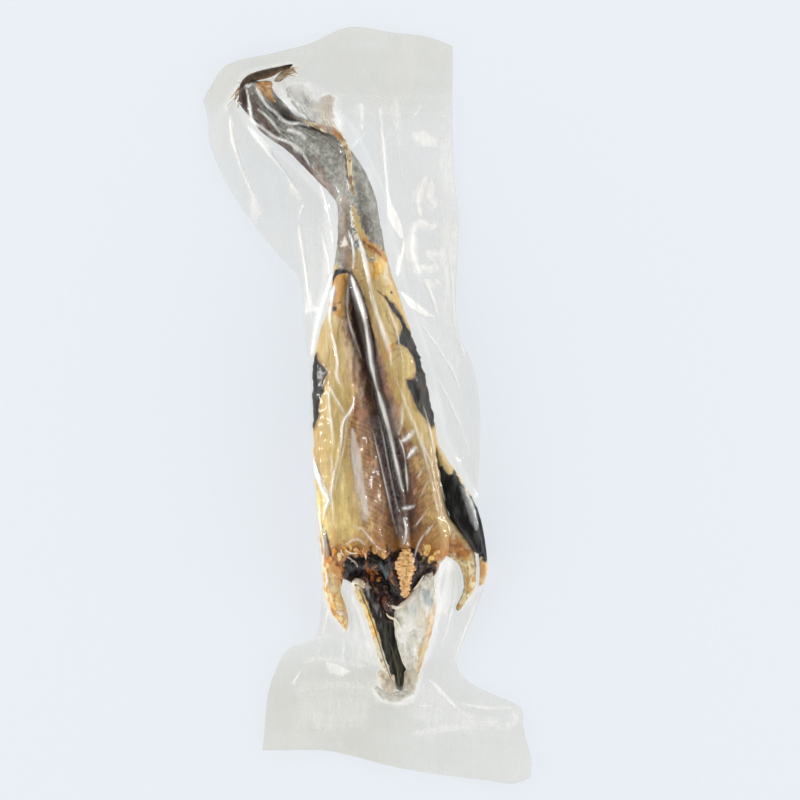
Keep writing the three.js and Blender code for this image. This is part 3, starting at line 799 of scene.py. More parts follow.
def build_trunk():
    """The body from the cut neck to the root of the tail fin, with its open belly and its skin."""
    t = ribbon(TRUNK, step=1.08, across=132, under=30, above=0.57, boxy=2.6, ends=(10, 5), ragged=0.02,
               seed=3)
    x_px = ORIGIN_PX[0] + t.x / PX
    y_px = ORIGIN_PX[1] - t.y / PX
    ridge_d, _, ridge_side = follow(plan(BACKBONE_PX), t.x, t.y)
    right = -ridge_side * ridge_d
    slanted = t.s - RIB_SLANT * np.abs(right) + 1.2 * t.fbm(9, 9, 2, 5)
    rib_wave = np.sin(slanted * 2 * np.pi / RIB_SPACING)
    ribs = smooth(rib_wave, 0.55, 0.98)
    masks = trunk_masks(t)
    shape_trunk(t, ridge_d, ribs, rib_wave, masks)

    paint_flesh(t, x_px, y_px, right)
    paint_belly(t, right, ribs, masks)
    paint_vent(t)
    shift = 22 * smooth(x_px, 349, 358) - 9 * smooth(x_px, 373, 384)
    bare = smooth(y_px - FLESH_START + shift - 6 * t.fbm(7, 7, 3, 99), -4, 4)
    t.colour = mix(skin_colour(t, x_px, y_px), t.colour, bare)
    paint_tail_root(t, y_px, masks)
    paint_neck(t, y_px, masks)
    paint_linings(t, masks)

    back = mix(GREY_DARK, GREY, 0.5 + 0.9 * t.fbm(5, 7, 4, 121))
    back = back * (1 + 0.25 * t.fbm(1.8, 1.8, 3, 123))[..., None]
    back = mix(back, TAN_GREY * 0.8, 0.6 * smooth(np.abs(t.q), 0.7, 0.98) * bare)
    t.colour = np.where(t.is_top[..., None], t.colour, back)
    add_fish("trunk", [t], flesh)


# ---------------------------------------------------------------- tail

TAIL_FIN = dict(
    left_px=[(237, 96), (239, 84), (244, 76), (254, 71), (267, 67), (280, 64.5), (293, 62)],
    right_px=[(247, 96), (247, 86), (252, 81), (262, 78), (271, 75.5), (280, 70.5), (292, 65)],
    middle=[8, 8.5, 9, 9, 8.5, 8], thickness=[6, 8, 8, 7, 6, 3.5],
    step=0.7, across=44, ends=(4, 2.5), ragged=0.08, seed=9,
)
TORN_ROOT = dict(
    left_px=[(252, 81), (258, 88), (263, 93), (270, 101)],
    right_px=[(272, 78), (272, 87), (273, 95), (277, 103)],
    middle=[9, 10, 10.5, 11], thickness=[7, 9, 10, 9],
    step=0.7, across=24, ends=(4, 5), ragged=0.1, seed=11,
)
TORN_ROOT_AMBER_PX = [(261, 82), (269, 82), (271, 92), (266, 95), (261, 90)]
TORN_WEB = dict(
    left_px=[(272, 80), (277, 74), (283, 69), (291, 65.5)],
    right_px=[(279, 81.5), (285, 77), (290, 73), (297, 70)],
    middle=[8, 8, 8, 7.5], thickness=[4, 4, 3.4, 2],
    step=0.7, across=24, ends=(3, 2), ragged=0.25, seed=12,
)
# (x and y of the root, x and y of the tip, half width in millimetres)
SHREDS_PX = [
    (239, 86, 229, 98, 1.0), (240, 89, 234, 99, 1.9), (240, 94, 236, 102, 1.5), (241, 100, 237, 107, 1.0),
    (241, 84, 235, 81, 0.6), (288, 69, 299, 66, 1.0), (284, 75, 296, 75, 0.8), (288, 72, 298, 72, 0.9),
    (237, 94, 226, 106, 0.5),
]
# (x, y, half width and height in millimetres)
RIDGE_PX = [
    (284, 114, 1.0, 18.5), (299, 120, 1.2, 22), (313, 125, 1.8, 24), (325, 128.5, 3.0, 26),
    (335, 133, 3.4, 28), (342, 140, 2.6, 30), (347.5, 151, 2.3, 31.5), (350, 168, 2.2, 33),
    (351, 182, 1.8, 34), (354, 197, 1.2, 35),
]
ANAL_FIN_WEB = dict(
    left_px=[(312, 126), (300, 112), (290, 100), (280, 86)],
    right_px=[(332, 130), (322, 112), (316, 98), (308, 80)],
    middle=[9, 8.5, 8, 7.5], thickness=[4, 3, 2.4, 1.6],
    step=0.8, across=44, ends=(4, 8), ragged=0.3, seed=17,
)
ANAL_FIN_LINES_PX = [
    [(313, 123), (317, 110), (319, 100)], [(309, 104), (304, 97), (301, 90)], [(316, 118), (311, 108)],
]
ANAL_FIN_EDGE = dict(
    left_px=[(324, 131), (317, 116), (316, 104), (320, 94)],
    right_px=[(340, 134), (334, 116), (334, 102), (335, 92)],
    middle=[9, 9, 8.5, 8], thickness=[4, 3.4, 3, 2],
    step=0.8, across=30, ends=(4, 6), ragged=0.3, seed=18,
)
ANAL_FIN_BROWN_PX = [(320, 97), (336, 96), (337, 103), (322, 104)]


def build_tail_fin():
    """The dark tail fin and its rays."""
    t = between(**TAIL_FIN)
    line = rays(t, 15, 0.45, 3)
    t.colour = mix(linear(132, 118, 98), linear(70, 58, 48), 0.45 + 0.5 * line + 0.6 * t.fbm(5, 5, 3, 12))
    t.paint(linear(150, 108, 64), 0.6 * smooth(t.q, 0.2, 0.9) * smooth(t.s, 18, 28))
    add_fish("tail_fin", [t], membrane)


def torn_root():
    """The torn root of the tail fin, amber in the middle."""
    t = between(**TORN_ROOT)
    t.raise_top(0.5 * t.fbm(3, 3, 3, 12))
    t.colour = mix(linear(160, 124, 84), linear(196, 168, 124), 0.4 + t.fbm(3, 3, 3, 12))
    t.paint(linear(180, 122, 62), 0.8 * t.patch(TORN_ROOT_AMBER_PX, 2, 1.5))
    t.paint(linear(82, 70, 58), smooth(t.s + 3 * t.q, 13, 19))
    return t


def torn_web():
    """A pale strip of web along the fin's edge."""
    t = between(**TORN_WEB)
    t.colour = mix(linear(206, 190, 166), linear(150, 122, 92), 0.35 + 0.8 * t.fbm(3, 2, 3, 13))
    t.paint(linear(92, 78, 66), 0.8 * smooth(t.q + 0.3 * t.fbm(2, 2, 2, 14), 0.5, 0.9))
    return t


def shred(k, x0, y0, x1, y1, wide):
    """One bent shred of fin, thinner towards its tip."""
    mid = ((x0 + x1) / 2 + 0.8 * (-1) ** k, (y0 + y1) / 2 - 1.0)
    p = plan([(x0, y0), mid, (x1, y1)])
    stations = [[*p[0], wide, 9, 3], [*p[1], wide * 0.8, 9, 2.4], [*p[2], wide * 0.4, 8, 1.6]]
    t = ribbon(stations, step=0.6, across=12, under=6, ends=(2, 1.5), ragged=0.3, seed=60 + k)
    t.colour = mix(linear(226, 212, 184), linear(170, 132, 88), 0.45 + 0.9 * t.fbm(2, 2, 3, 70 + k))
    return t


def build_tail_shreds():
    """The torn root and web, and the shreds round the fin."""
    shreds = [shred(k, *row) for k, row in enumerate(SHREDS_PX)]
    add_fish("tail_shreds", [torn_root(), torn_web()] + shreds, bone)


def build_belly_ridge():
    """The pale, knobbly ridge along the tail."""
    stations = [[*plan([(a, b)])[0], wide, high, 3.4] for a, b, wide, high in RIDGE_PX]
    t = ribbon(stations, step=0.7, across=18, under=8, ends=(4, 4), ragged=0.4, seed=15)
    t.raise_top(0.6 * fbm(t.s / 2, t.q * 2, 3, 6))
    t.colour = mix(linear(218, 200, 162), linear(150, 124, 92), 0.45 + 1.1 * t.fbm(3, 4, 3, 16))
    rusty = 0.9 * t.blotch(5, 5, 18, 0.0, 0.4) * smooth(t.y, 240, 248) * smooth(t.s, 18, 32)
    t.paint(linear(174, 118, 62), rusty)
    t.paint(linear(104, 86, 62), smooth(t.s, 26, 14))
    add_fish("belly_ridge", [t], bone)


def anal_fin_web():
    """The pale web of the fin behind the vent, with a few grey lines and a painted highlight towards its
    tip.
    """
    t = between(**ANAL_FIN_WEB)
    line = rays(t, 13, 0.3, 5)
    t.colour = mix(linear(222, 223, 217), linear(202, 202, 195),
                   0.4 + 0.2 * line + 0.6 * t.fbm(9, 9, 3, 20))
    # painted highlight towards the tip
    t.paint(linear(236, 237, 233), 0.85 * smooth(t.s, 22, 38))
    for grey_line in ANAL_FIN_LINES_PX:
        t.paint(linear(140, 136, 126), 0.75 * t.stroke(grey_line, [0.6, 1.8, 0.8], 1.0, 1.0))
    return t


def anal_fin_edge():
    """The browner part of that fin, beside the body."""
    t = between(**ANAL_FIN_EDGE)
    line = rays(t, 9, 0.25, 5)
    t.colour = mix(linear(222, 212, 192), linear(188, 172, 148),
                   0.4 + 0.25 * line + 0.7 * t.fbm(6, 6, 3, 24))
    t.paint(linear(228, 224, 214), 0.8 * smooth(t.s, 20, 34))
    t.paint(linear(176, 156, 134), 0.5 * t.patch(ANAL_FIN_BROWN_PX, 3, 3))
    return t


def build_anal_fin():
    """The fin behind the vent."""
    add_fish("anal_fin", [anal_fin_web(), anal_fin_edge()], bone)


# ---------------------------------------------------------------- throat and collar

LEFT_ARM = dict(
    left_px=[(350, 578), (354, 592), (361, 606), (368, 624), (373, 642), (378, 660), (384, 675),
             (391, 686)],
    right_px=[(364, 577), (373, 590), (381, 606), (386, 622), (391, 640), (395, 658), (397, 674),
              (397, 686)],
    middle=[14, 16, 15, 14, 12, 10, 9, 8], thickness=[7, 13, 15, 14, 12, 10, 8, 6],
    across=48, ends=(3, 4), ragged=0.09, seed=19,
)
LEFT_ARM_HIGHLIGHT_PX = [(363, 586), (370, 588), (376, 601), (383, 618), (380, 617), (372, 603)]
LEFT_ARM_ORANGE_PX = (349, 577)
# how far across the arm its black inside begins, from -1 to 1, at millimetres along it
LEFT_ARM_INSIDE = ([0, 12, 40, 80, 110], [0.9, -0.15, -0.3, -0.15, 0.1])
RIGHT_ARM = dict(
    left_px=[(429, 571), (419, 582), (407, 598), (394, 613), (394, 626), (397, 643), (401, 660),
             (407, 673)],
    right_px=[(433, 569), (436, 586), (436, 602), (435, 618), (431, 636), (426, 652), (422, 666),
              (418, 676)],
    middle=[17, 17, 16, 15, 14, 12, 10, 9], thickness=[8, 11, 13, 14, 13, 11, 10, 7],
    across=60, ends=(4, 4), ragged=0.05, seed=23,
)
RIGHT_ARM_TAN_PX = [(424, 634), (421, 648), (418, 664)]
RIGHT_ARM_TOP_PX = [(423, 577), (428, 574), (431, 571)]
RIGHT_ARM_FOLD_PX = [(420, 586), (418, 598), (420, 610)]
RIGHT_ARM_BLUE_PX = [(424, 588), (431, 590), (432, 606), (425, 607), (423, 597)]
RIGHT_ARM_PALE_BLUE_PX = [(407, 608), (413, 603), (417, 611), (413, 617), (408, 614)]
RIGHT_ARM_RIM_PX = [(396, 618), (402, 609), (409, 598), (414, 589), (419, 581)]
# (x, y, half width and height in millimetres) along each pale thread at the arm's rim
THREADS_PX = [
    [(386, 603, 0.3, 20), (390, 606, 1.0, 20.5), (395, 607.5, 1.5, 21), (401, 607, 1.2, 21),
     (405, 604, 0.4, 21)],
    [(386, 613, 0.3, 19), (389, 617, 0.8, 19.5), (394, 619, 0.9, 19.5), (399, 624, 0.5, 19),
     (401, 630, 0.2, 18)],
    [(413, 590, 0.4, 23), (418, 584, 0.8, 23), (424, 575, 0.4, 23)],
]
SCOOP = dict(
    left_px=[(372, 590), (380, 606), (384, 622), (387, 640), (390, 658), (392, 676), (396, 692)],
    right_px=[(410, 592), (402, 606), (399, 622), (401, 640), (404, 656), (409, 670), (404, 692)],
    middle=[9, 9, 9, 8, 7.5, 7, 6.5], thickness=[9, 9, 9, 8, 7, 6, 5],
    across=40, ends=(6, 4), ragged=0.05, seed=29,
)
SCOOP_CREST_PX = [(383, 616), (389, 640), (396, 664), (399, 684)]
TIP_FRONT = dict(
    left_px=[(373, 686), (384, 691), (394, 694), (404, 690), (413, 684)],
    right_px=[(377, 697), (387, 702), (398, 704), (409, 699), (418, 691)],
    middle=[6, 6, 6, 6, 6], thickness=[4, 5, 5, 5, 4],
    across=30, under=16, ends=(6, 6), ragged=0.3, seed=31,
)
TIP_LEFT = dict(
    left_px=[(377, 670), (379, 680), (383, 694)], right_px=[(393, 672), (396, 684), (397, 696)],
    middle=[8, 7.5, 7], thickness=[8, 8, 5], across=24, ends=(5, 5), ragged=0.2, seed=33,
)
TIP_RIGHT = dict(
    left_px=[(405, 668), (403, 682), (401, 693)], right_px=[(421, 668), (419, 680), (412, 693)],
    middle=[8, 7.5, 7], thickness=[8, 8, 5], across=24, ends=(5, 5), ragged=0.2, seed=35,
)


def build_collar_left():
    """The left arm: tan outside, black inside with a painted highlight, and a pale top."""
    t = between(**LEFT_ARM)
    x, y, q, s = t.x, t.y, t.q, t.s
    top_knobs = 1.2 * t.fbm(3, 3, 2, 8) * smooth(s, 14, 4)
    t.raise_top(-3.0 * smooth(q, -0.3, 0.8) + 0.4 * t.fbm(5, 9, 3, 7) + top_knobs)
    outer = mix(linear(230, 206, 148), linear(226, 218, 196), smooth(s, 45, 80))
    outer = mix(outer, linear(222, 168, 82), t.blotch(4, 8, 22, 0.15, 0.7) * smooth(s, 90, 50))
    outer = mix(outer, linear(176, 152, 116), t.blotch(3, 5, 26, 0.2, 0.8))
    inner = mix(linear(26, 24, 22), linear(70, 68, 60), 0.25 + fbm(x / 2.4, y / 12, 3, 23))
    edge = np.interp(s, *LEFT_ARM_INSIDE)
    t.colour = mix(outer, BLACK * 1.6, 0.8 * smooth(np.abs(q - edge + 0.2), 0.1, 0.03))
    t.paint(inner, smooth(q - edge + 0.12 * t.fbm(3, 6, 2, 24), -0.08, 0.08))
    # a painted highlight on the black inside
    shine = t.patch(LEFT_ARM_HIGHLIGHT_PX, 1.6, 1.4)
    t.paint(linear(158, 154, 158), 0.9 * shine * (0.5 + 0.9 * t.fbm(1.6, 12, 2, 25)))
    t.paint(IVORY, smooth(s + 3 * t.fbm(3, 3, 2, 28), 14, 8))
    t.paint(linear(206, 168, 120), 0.7 * t.blotch(2.5, 2.5, 29, 0.1, 0.6) * smooth(s, 20, 10))
    t.paint(ORANGE, 0.5 * t.spot(LEFT_ARM_ORANGE_PX, 2, 1.5))
    add_fish("collar_left", [t], membrane)


def right_arm():
    """The right arm: a crumpled silvery sheet with a tan right edge and a white rim."""
    t = between(**RIGHT_ARM)
    x, y, q, s = t.x, t.y, t.q, t.s
    crumple = ridged(x / 4 + 0.5 * noise(x / 6, y / 9, 24), y / 11, 25, 5)
    t.raise_top(-2.2 * (1 - np.abs(q)) + 0.9 * t.fbm(7, 14, 4, 9) + 0.9 * crumple)
    t.colour = mix(linear(220, 216, 198), linear(255, 253, 247),
                   0.45 + 0.9 * t.fbm(4, 9, 4, 26) + 0.4 * crumple)
    t.paint(linear(186, 184, 164), 0.6 * t.blotch(2.5, 4, 28, 0.1, 0.7) * smooth(s, 30, 60))
    tan_side = smooth(q + 0.35 * t.fbm(4, 9, 3, 30), 0.2, 0.9) * smooth(s, 26, 44)
    t.paint(linear(226, 196, 142), 0.85 * tan_side)
    brown_rim = 0.7 * smooth(q + 0.1 * t.fbm(3, 5, 2, 31), 0.84, 0.96)
    t.paint(linear(200, 152, 92), brown_rim * smooth(s, 20, 36))
    t.paint(linear(208, 168, 108), 0.6 * t.stroke(RIGHT_ARM_TAN_PX, [0.5, 0.9, 0.5], 0.5))
    t.paint(linear(150, 142, 112), 0.8 * t.stroke(RIGHT_ARM_TOP_PX, [1.4, 1.6, 1.0], 0.8, 1.2, 2))
    t.paint(linear(172, 160, 122), 0.6 * t.stroke(RIGHT_ARM_FOLD_PX, [0.6, 1.2, 0.6], 1.0))
    t.paint(linear(168, 182, 190), 0.85 * t.patch(RIGHT_ARM_BLUE_PX, 2, 1.5))
    t.paint(linear(184, 196, 198), 0.6 * t.patch(RIGHT_ARM_PALE_BLUE_PX, 2.5, 1.4))
    t.paint(IVORY, 0.95 * t.stroke(RIGHT_ARM_RIM_PX, [1, 1.8, 2.2, 2.6, 1.4], 0.7, 0.6, 2))
    return t


def thread(k, line):
    """A pale thread at the arm's rim."""
    stations = [[*plan([(a, b)])[0], wide, high, 2.0] for a, b, wide, high in line]
    t = ribbon(stations, step=0.6, across=12, under=6, ends=(1.5, 1.5), ragged=0.3, seed=80 + k)
    t.colour = mix(IVORY, CREAM, 0.2 + t.fbm(2, 2, 2, 90 + k))
    return t


def build_collar_right():
    """The right arm and its threads."""
    threads = [thread(k, line) for k, line in enumerate(THREADS_PX)]
    add_fish("collar_right", [right_arm()] + threads, bone)


def build_throat_scoop():
    """The black inside of the throat, browner at the neck, with a crest along it."""
    t = between(**SCOOP)
    crest = follow(plan(SCOOP_CREST_PX), t.x, t.y)[0]
    t.raise_top(0.5 * t.fbm(4, 10, 3, 33) + 1.4 * (1 - smooth(crest, 0.2, 4.5)))
    t.colour = mix(linear(66, 62, 50), linear(26, 24, 20), 0.5 + t.fbm(2.2, 14, 3, 34))
    t.paint(linear(104, 104, 86), 0.6 * smooth(ridged(t.x / 3, t.y / 26, 36, 4), 0.5, 0.9))
    brown = mix(DARK_BROWN, linear(104, 78, 66), 0.5 + t.fbm(2, 9, 3, 35))
    t.paint(brown, 0.95 * smooth(t.y, -205, -190))
    t.paint(linear(112, 112, 94), 0.6 * (1 - smooth(crest, 0.2, 0.9)) * smooth(-t.y, 195, 210))
    add_fish("throat_scoop", [t], membrane)


def build_throat_tip():
    """The pale tip of the throat: a front and two sides."""
    front = between(**TIP_FRONT)
    front.raise_top(0.7 * front.fbm(3, 3, 3, 35))
    front.colour = mix(linear(220, 216, 204), linear(186, 178, 160), 0.4 + front.fbm(3, 4, 3, 36))
    front.paint(linear(140, 122, 98), 0.7 * front.blotch(2, 2, 37, 0.3, 0.8))
    left = between(**TIP_LEFT)
    left.colour = mix(linear(226, 216, 192), linear(176, 162, 136), 0.4 + left.fbm(3, 5, 3, 38))
    left.paint(linear(200, 160, 104), 0.5 * left.blotch(2, 5, 40, 0.2, 0.7))
    right = between(**TIP_RIGHT)
    right.colour = mix(linear(212, 204, 182), linear(160, 148, 122), 0.4 + right.fbm(3, 5, 3, 39))
    add_fish("throat_tip", [front, left, right], bone)


# ---------------------------------------------------------------- paired fins and the flap beside them

PECTORAL_LEFT = dict(
    left_px=[(319, 536), (322, 552), (322.5, 572), (323.5, 588), (328, 604), (333, 616), (341, 626),
             (345, 632)],
    right_px=[(337, 540), (342, 556), (346, 568), (343, 580), (341, 590), (345, 606), (348, 618),
              (348, 631)],
    middle=[17, 16, 14, 13, 12, 11, 10, 9], thickness=[20, 19, 15, 13, 12, 10, 8, 5],
    across=40, ends=(6, 4), ragged=0.08, seed=37,
)
PECTORAL_LEFT_RUSTY_PX = [(338, 570), (346, 566), (345, 580), (341, 590)]
PECTORAL_LEFT_CREAM_PX = [(326, 578), (336, 580), (338, 592), (330, 598)]
PECTORAL_RIGHT = dict(
    left_px=[(428, 470), (430, 500), (432, 528), (436, 548), (447, 556), (457, 563), (463, 576), (464, 588),
             (460, 600), (455, 609)],
    right_px=[(440, 468), (443, 492), (450, 516), (464, 534), (473, 547), (476, 562), (476, 578),
              (474, 591),
              (466, 603), (459, 613)],
    middle=[19, 18, 17, 16, 14, 12, 11, 10, 9, 8], thickness=[26, 25, 23, 20, 17, 14, 12, 10, 8, 5],
    across=44, ends=(14, 3), ragged=0.06, seed=41,
)
PECTORAL_RIGHT_BASE_PX = [(443, 544), (452, 534), (466, 544), (474, 553), (462, 560), (450, 553)]
PECTORAL_RIGHT_DARK_PX = [(462, 572), (464, 584), (462, 594), (457, 606)]
PECTORAL_RIGHT_TIP_PX = (456.5, 611)
FLAP_PRONG = dict(
    left_px=[(474, 508), (477, 524), (478.5, 540), (479, 556), (480, 572), (479, 588)],
    right_px=[(477, 508), (482, 524), (485, 540), (487, 556), (488, 572), (484, 585)],
    middle=[14, 13, 12.5, 12, 11, 10], thickness=[10, 11, 11, 10, 9, 6],
    across=24, ends=(5, 3), ragged=0.06, seed=43,
)
FLAP_PRONG_RUSTY_PX = [(481, 561), (486, 563), (487, 578), (482, 580), (480, 570)]
RIGHT_FLAP = dict(
    left_px=[(432, 442), (437, 460), (440, 480), (444, 500), (450, 517), (460, 532), (470, 546),
             (477, 556)],
    right_px=[(438, 442), (450, 464), (458, 474), (466, 487), (474, 501), (480, 516), (484, 535),
              (485, 554)],
    middle=[20, 20, 19, 18, 17, 15, 14, 12], thickness=[26, 28, 27, 26, 24, 21, 17, 12],
    across=44, ends=(14, 5), ragged=0.04, seed=7,
)
RIGHT_FLAP_BLACK_PX = [
    (442, 464), (444, 470), (449, 475), (454, 470), (458, 478), (465, 489), (476, 503), (482, 515),
    (488, 528), (490, 547), (484, 558), (470, 550), (459, 538), (447, 525), (436, 500), (437, 470),
]
RIGHT_FLAP_HIGHLIGHT_PX = [(463, 482), (470, 500), (475, 516), (476, 530)]


def build_pectoral_left():
    """The amber fin on the left, behind the collar."""
    t = between(**PECTORAL_LEFT)
    line = rays(t, 9, 0.2, 7)
    t.raise_top(0.6 * t.fbm(4, 6, 3, 39))
    t.colour = mix(linear(234, 186, 104), linear(248, 226, 170),
                   0.5 + 0.08 * line + 1.3 * t.fbm(4, 5, 3, 40))
    t.paint(linear(206, 134, 60), 0.7 * t.blotch(3, 4, 42, 0.15, 0.6))
    t.paint(linear(170, 108, 56), 0.4 * t.blotch(2, 3, 41, 0.35, 0.8))
    t.paint(linear(170, 88, 40), 0.8 * t.patch(PECTORAL_LEFT_RUSTY_PX, 1.5, 1.5))
    t.paint(CREAM, 0.6 * t.patch(PECTORAL_LEFT_CREAM_PX, 2.5, 2.5))
    add_fish("pectoral_left", [t], flesh)


def build_pectoral_right():
    """The tan fin on the right, behind the collar, with a brown base."""
    t = between(**PECTORAL_RIGHT)
    line = rays(t, 7, 0.2, 8)
    t.raise_top(0.7 * t.fbm(4, 5, 3, 42))
    t.colour = mix(linear(208, 182, 128), linear(234, 218, 178),
                   0.45 + 0.08 * line + 1.2 * t.fbm(4, 5, 3, 44))
    t.paint(linear(206, 156, 86), 0.8 * t.blotch(3, 5, 45, 0.1, 0.6))
    t.paint(linear(136, 112, 76), 0.7 * t.blotch(1.8, 2.5, 43, 0.3, 0.8))
    t.paint(TAN_GREY, smooth(t.s, 75, 45))
    base_tone = mix(linear(196, 130, 66), linear(150, 84, 40), 0.4 + t.fbm(3, 3, 3, 47))
    t.paint(base_tone, 0.85 * t.patch(PECTORAL_RIGHT_BASE_PX, 2, 2.4, 4, 48))
    t.paint(linear(96, 92, 80), 0.8 * t.stroke(PECTORAL_RIGHT_DARK_PX, [0.6, 1.3, 1.4, 0.6], 0.7, 0.8))
    t.paint(BLACK * 3, t.spot(PECTORAL_RIGHT_TIP_PX, 1.5))
    add_fish("pectoral_right", [t], flesh)


def build_flap_prong():
    """The pale prong that runs on from the flap, with a black upper end."""
    t = between(**FLAP_PRONG)
    t.colour = mix(linear(222, 184, 130), linear(238, 216, 176), 0.4 + t.fbm(3, 5, 3, 45))
    t.paint(linear(190, 120, 56), 0.35 * t.patch(FLAP_PRONG_RUSTY_PX, 1.2, 1.5, 3, 46))
    t.paint(BLACK, smooth(t.y + 4 * t.fbm(3, 4, 2, 47), -145, -140))
    add_fish("flap_prong", [t], flesh)


def build_right_flap():
    """The flap on the right of the belly, with its black lining and a painted highlight on it."""
    t = between(**RIGHT_FLAP)
    t.raise_top(0.6 * t.fbm(8, 16, 3, 5))
    t.colour = mix(TAN_GREY, linear(222, 204, 164), 0.4 + t.fbm(8, 12, 3, 8))
    black = t.patch(RIGHT_FLAP_BLACK_PX, 0.6, 0.9, 3, 9)
    t.paint(mix(BLACK, linear(58, 58, 58), 0.2 + 0.9 * t.fbm(3, 12, 3, 10)), black)
    # a painted highlight on the black lining
    shine = 0.5 * t.stroke(RIGHT_FLAP_HIGHLIGHT_PX, [0.6, 1.6, 1.6, 0.8], 0.8, 0.8)
    t.paint(mix(BLUE_GREY, IVORY, 0.4 + t.fbm(3, 6, 2, 11)), shine)
    add_fish("right_flap", [t], membrane)


# ---------------------------------------------------------------- cut neck

VERTEBRAE = dict(
    left_px=[(404, 546), (400, 553), (396.5, 560), (396, 569), (398, 575), (399.5, 581), (400.5, 589),
             (402, 598)],
    right_px=[(409, 546), (412, 553), (414.5, 560), (416, 568), (413, 575), (411.5, 581), (410.5, 589),
              (408, 598)],
    middle=[25, 25, 25, 25, 23, 21, 20, 18], thickness=[12, 15, 17, 16, 13, 12, 10, 7],
    step=0.5, across=40, ends=(4, 3), ragged=0.06, seed=47,
)
BEAD_SPACING = 4.6
# (pixel x, pixel y, length, width, angle in degrees, colour, second colour), lengths in pixels
SCRAPS = [
    (334, 552, 9, 5, 250, ORANGE, AMBER), (340, 556, 9, 5, 262, AMBER, CREAM),
    (346, 550, 10, 5, 300, AMBER, RUST), (351, 547, 9, 4, 280, AMBER, TAN),
    (357, 550, 8, 5, 315, AMBER, CREAM), (362, 553, 9, 5, 285, ORANGE, RUST),
    (368, 556, 8, 5, 300, RUST, ORANGE), (375, 550, 10, 5, 270, BROWN, AMBER),
    (383, 553, 10, 5, 280, ORANGE, TAN), (389, 549, 9, 4, 265, BROWN, MAUVE),
    (330, 560, 8, 5, 240, ORANGE, AMBER), (337, 563, 7, 5, 270, RUST, AMBER),
    (341, 568, 7, 3, 300, ORANGE, RUST), (427, 550, 12, 8, 255, TAN, AMBER),
    (430, 559, 10, 5, 240, TAN_DEEP, AMBER), (421, 552, 9, 4, 290, BROWN, TAN),
    (436, 552, 8, 4, 215, ORANGE, TAN), (423, 560, 8, 4, 240, AMBER, TAN),
    (349, 566, 7, 5, 300, BLACK, PURPLE), (358, 573, 8, 5, 235, BLACK, PURPLE),
    (352, 574, 6, 4, 280, BLACK, BLACK), (366, 565, 10, 5, 250, RUST, BROWN),
    (369, 571, 10, 6, 300, RUST, ORANGE), (374, 567, 9, 4, 40, BROWN, ORANGE),
    (366, 579, 10, 5, 290, RUST, DARK_BROWN), (372, 577, 9, 5, 80, ORANGE, RUST),
    (377, 573, 9, 4, 320, RUST, AMBER), (379, 579, 7, 4, 50, AMBER, RUST),
    (373, 585, 10, 4, 290, DARK_BROWN, PURPLE), (382, 575, 5, 3, 300, BLACK, RUST),
    (383, 585, 7, 4, 345, BLACK, GREEN_BLACK), (391, 568, 10, 4, 280, MAUVE, PURPLE),
    (391, 575, 9, 5, 70, ORANGE, AMBER), (393, 582, 8, 4, 300, AMBER, RUST),
    (388, 579, 7, 3, 320, RUST, BROWN), (394, 592, 10, 6, 310, GREEN_BLACK, BLACK),
    (386, 592, 14, 5, 290, DARK_BROWN, MAUVE), (378, 594, 15, 5, 280, DARK_BROWN, MAUVE),
    (384, 604, 16, 5, 275, DARK_BROWN, RUST), (390, 606, 12, 4, 300, MAUVE, DARK_BROWN),
    (415, 563, 11, 5, 280, PURPLE, MAUVE), (421, 570, 12, 6, 240, PURPLE, MAUVE),
    (426, 568, 9, 5, 250, DARK_BROWN, MAUVE), (414, 574, 12, 5, 265, DARK_BROWN, PURPLE),
    (418, 580, 8, 4, 240, PURPLE, BLACK), (430, 571, 7, 4, 230, PURPLE, BLACK),
    (411, 586, 10, 3, 265, DARK_BROWN, BLACK), (392, 553, 12, 5, 275, MAUVE, PURPLE),
]
# a dark green lappet of gut, then pale threads: (pixel x, pixel y, half width in millimetres) along each
LAPPETS = [
    ([(368, 555, 1.4), (373, 558, 2.6), (378, 561, 2.2), (382, 566, 1.2)], BLACK, GREEN_BLACK),
    ([(376, 559, 1.0), (381, 563, 2.4), (385, 570, 2.8), (387, 576, 2.2), (386, 580, 0.8)],
     linear(92, 116, 118), GREEN_BLACK),
    ([(381, 573, 0.5), (383, 578, 0.9), (386, 583, 0.9), (390, 583, 0.4)], BLACK, BLACK),
    ([(350, 562, 0.5), (353, 561, 0.9), (356, 564, 1.1), (358, 568, 0.4)], IVORY, BLUE_GREY),
    ([(341, 548, 0.4), (343, 553, 0.6), (348, 557, 0.7), (353, 561, 0.4)], CREAM, IVORY),
    ([(345, 548, 0.5), (351, 552, 0.7), (358, 552, 0.5)], CREAM, IVORY),
    ([(360, 549, 0.6), (365, 553, 1.1), (366, 560, 0.5)], CREAM, linear(226, 170, 120)),
    ([(351, 586, 0.8), (355, 582, 2.2), (360, 582, 2.6), (364, 588, 1.0)], IVORY, linear(206, 178, 136)),
]


def build_vertebrae():
    """The cut end of the backbone: a knobbly column of beads, with painted highlight on their tops and
    painted shade between.
    """
    t = between(**VERTEBRAE)
    bead = np.abs(np.sin(t.s * np.pi / BEAD_SPACING + 1.1 * noise(t.s / 5, t.q * 1.4, 48)))
    column = np.abs(np.sin(t.q * np.pi * 1.1 + 1.1 * noise(t.s / 5, t.q * 0, 49)))
    knobs = t.fbm(1.5, 1.5, 3, 51)
    t.x = t.x + (1.8 * (bead - 0.6) + 0.7 * knobs) * np.sign(t.q) * smooth(np.abs(t.q), 0.5, 1.0)
    t.raise_top(0.5 * bead + 0.6 * column + 0.4 * knobs)
    # painted highlight on the raised beads and knobs, and painted shade in the grooves between them
    light = 0.32 + 0.22 * bead + 0.2 * column + 0.5 * knobs
    t.colour = mix(linear(178, 116, 58), linear(236, 192, 126), light)
    t.paint(CREAM, 0.35 * t.blotch(2.5, 2.5, 53, 0.2, 0.7))
    add_fish("vertebrae", [t], bone)


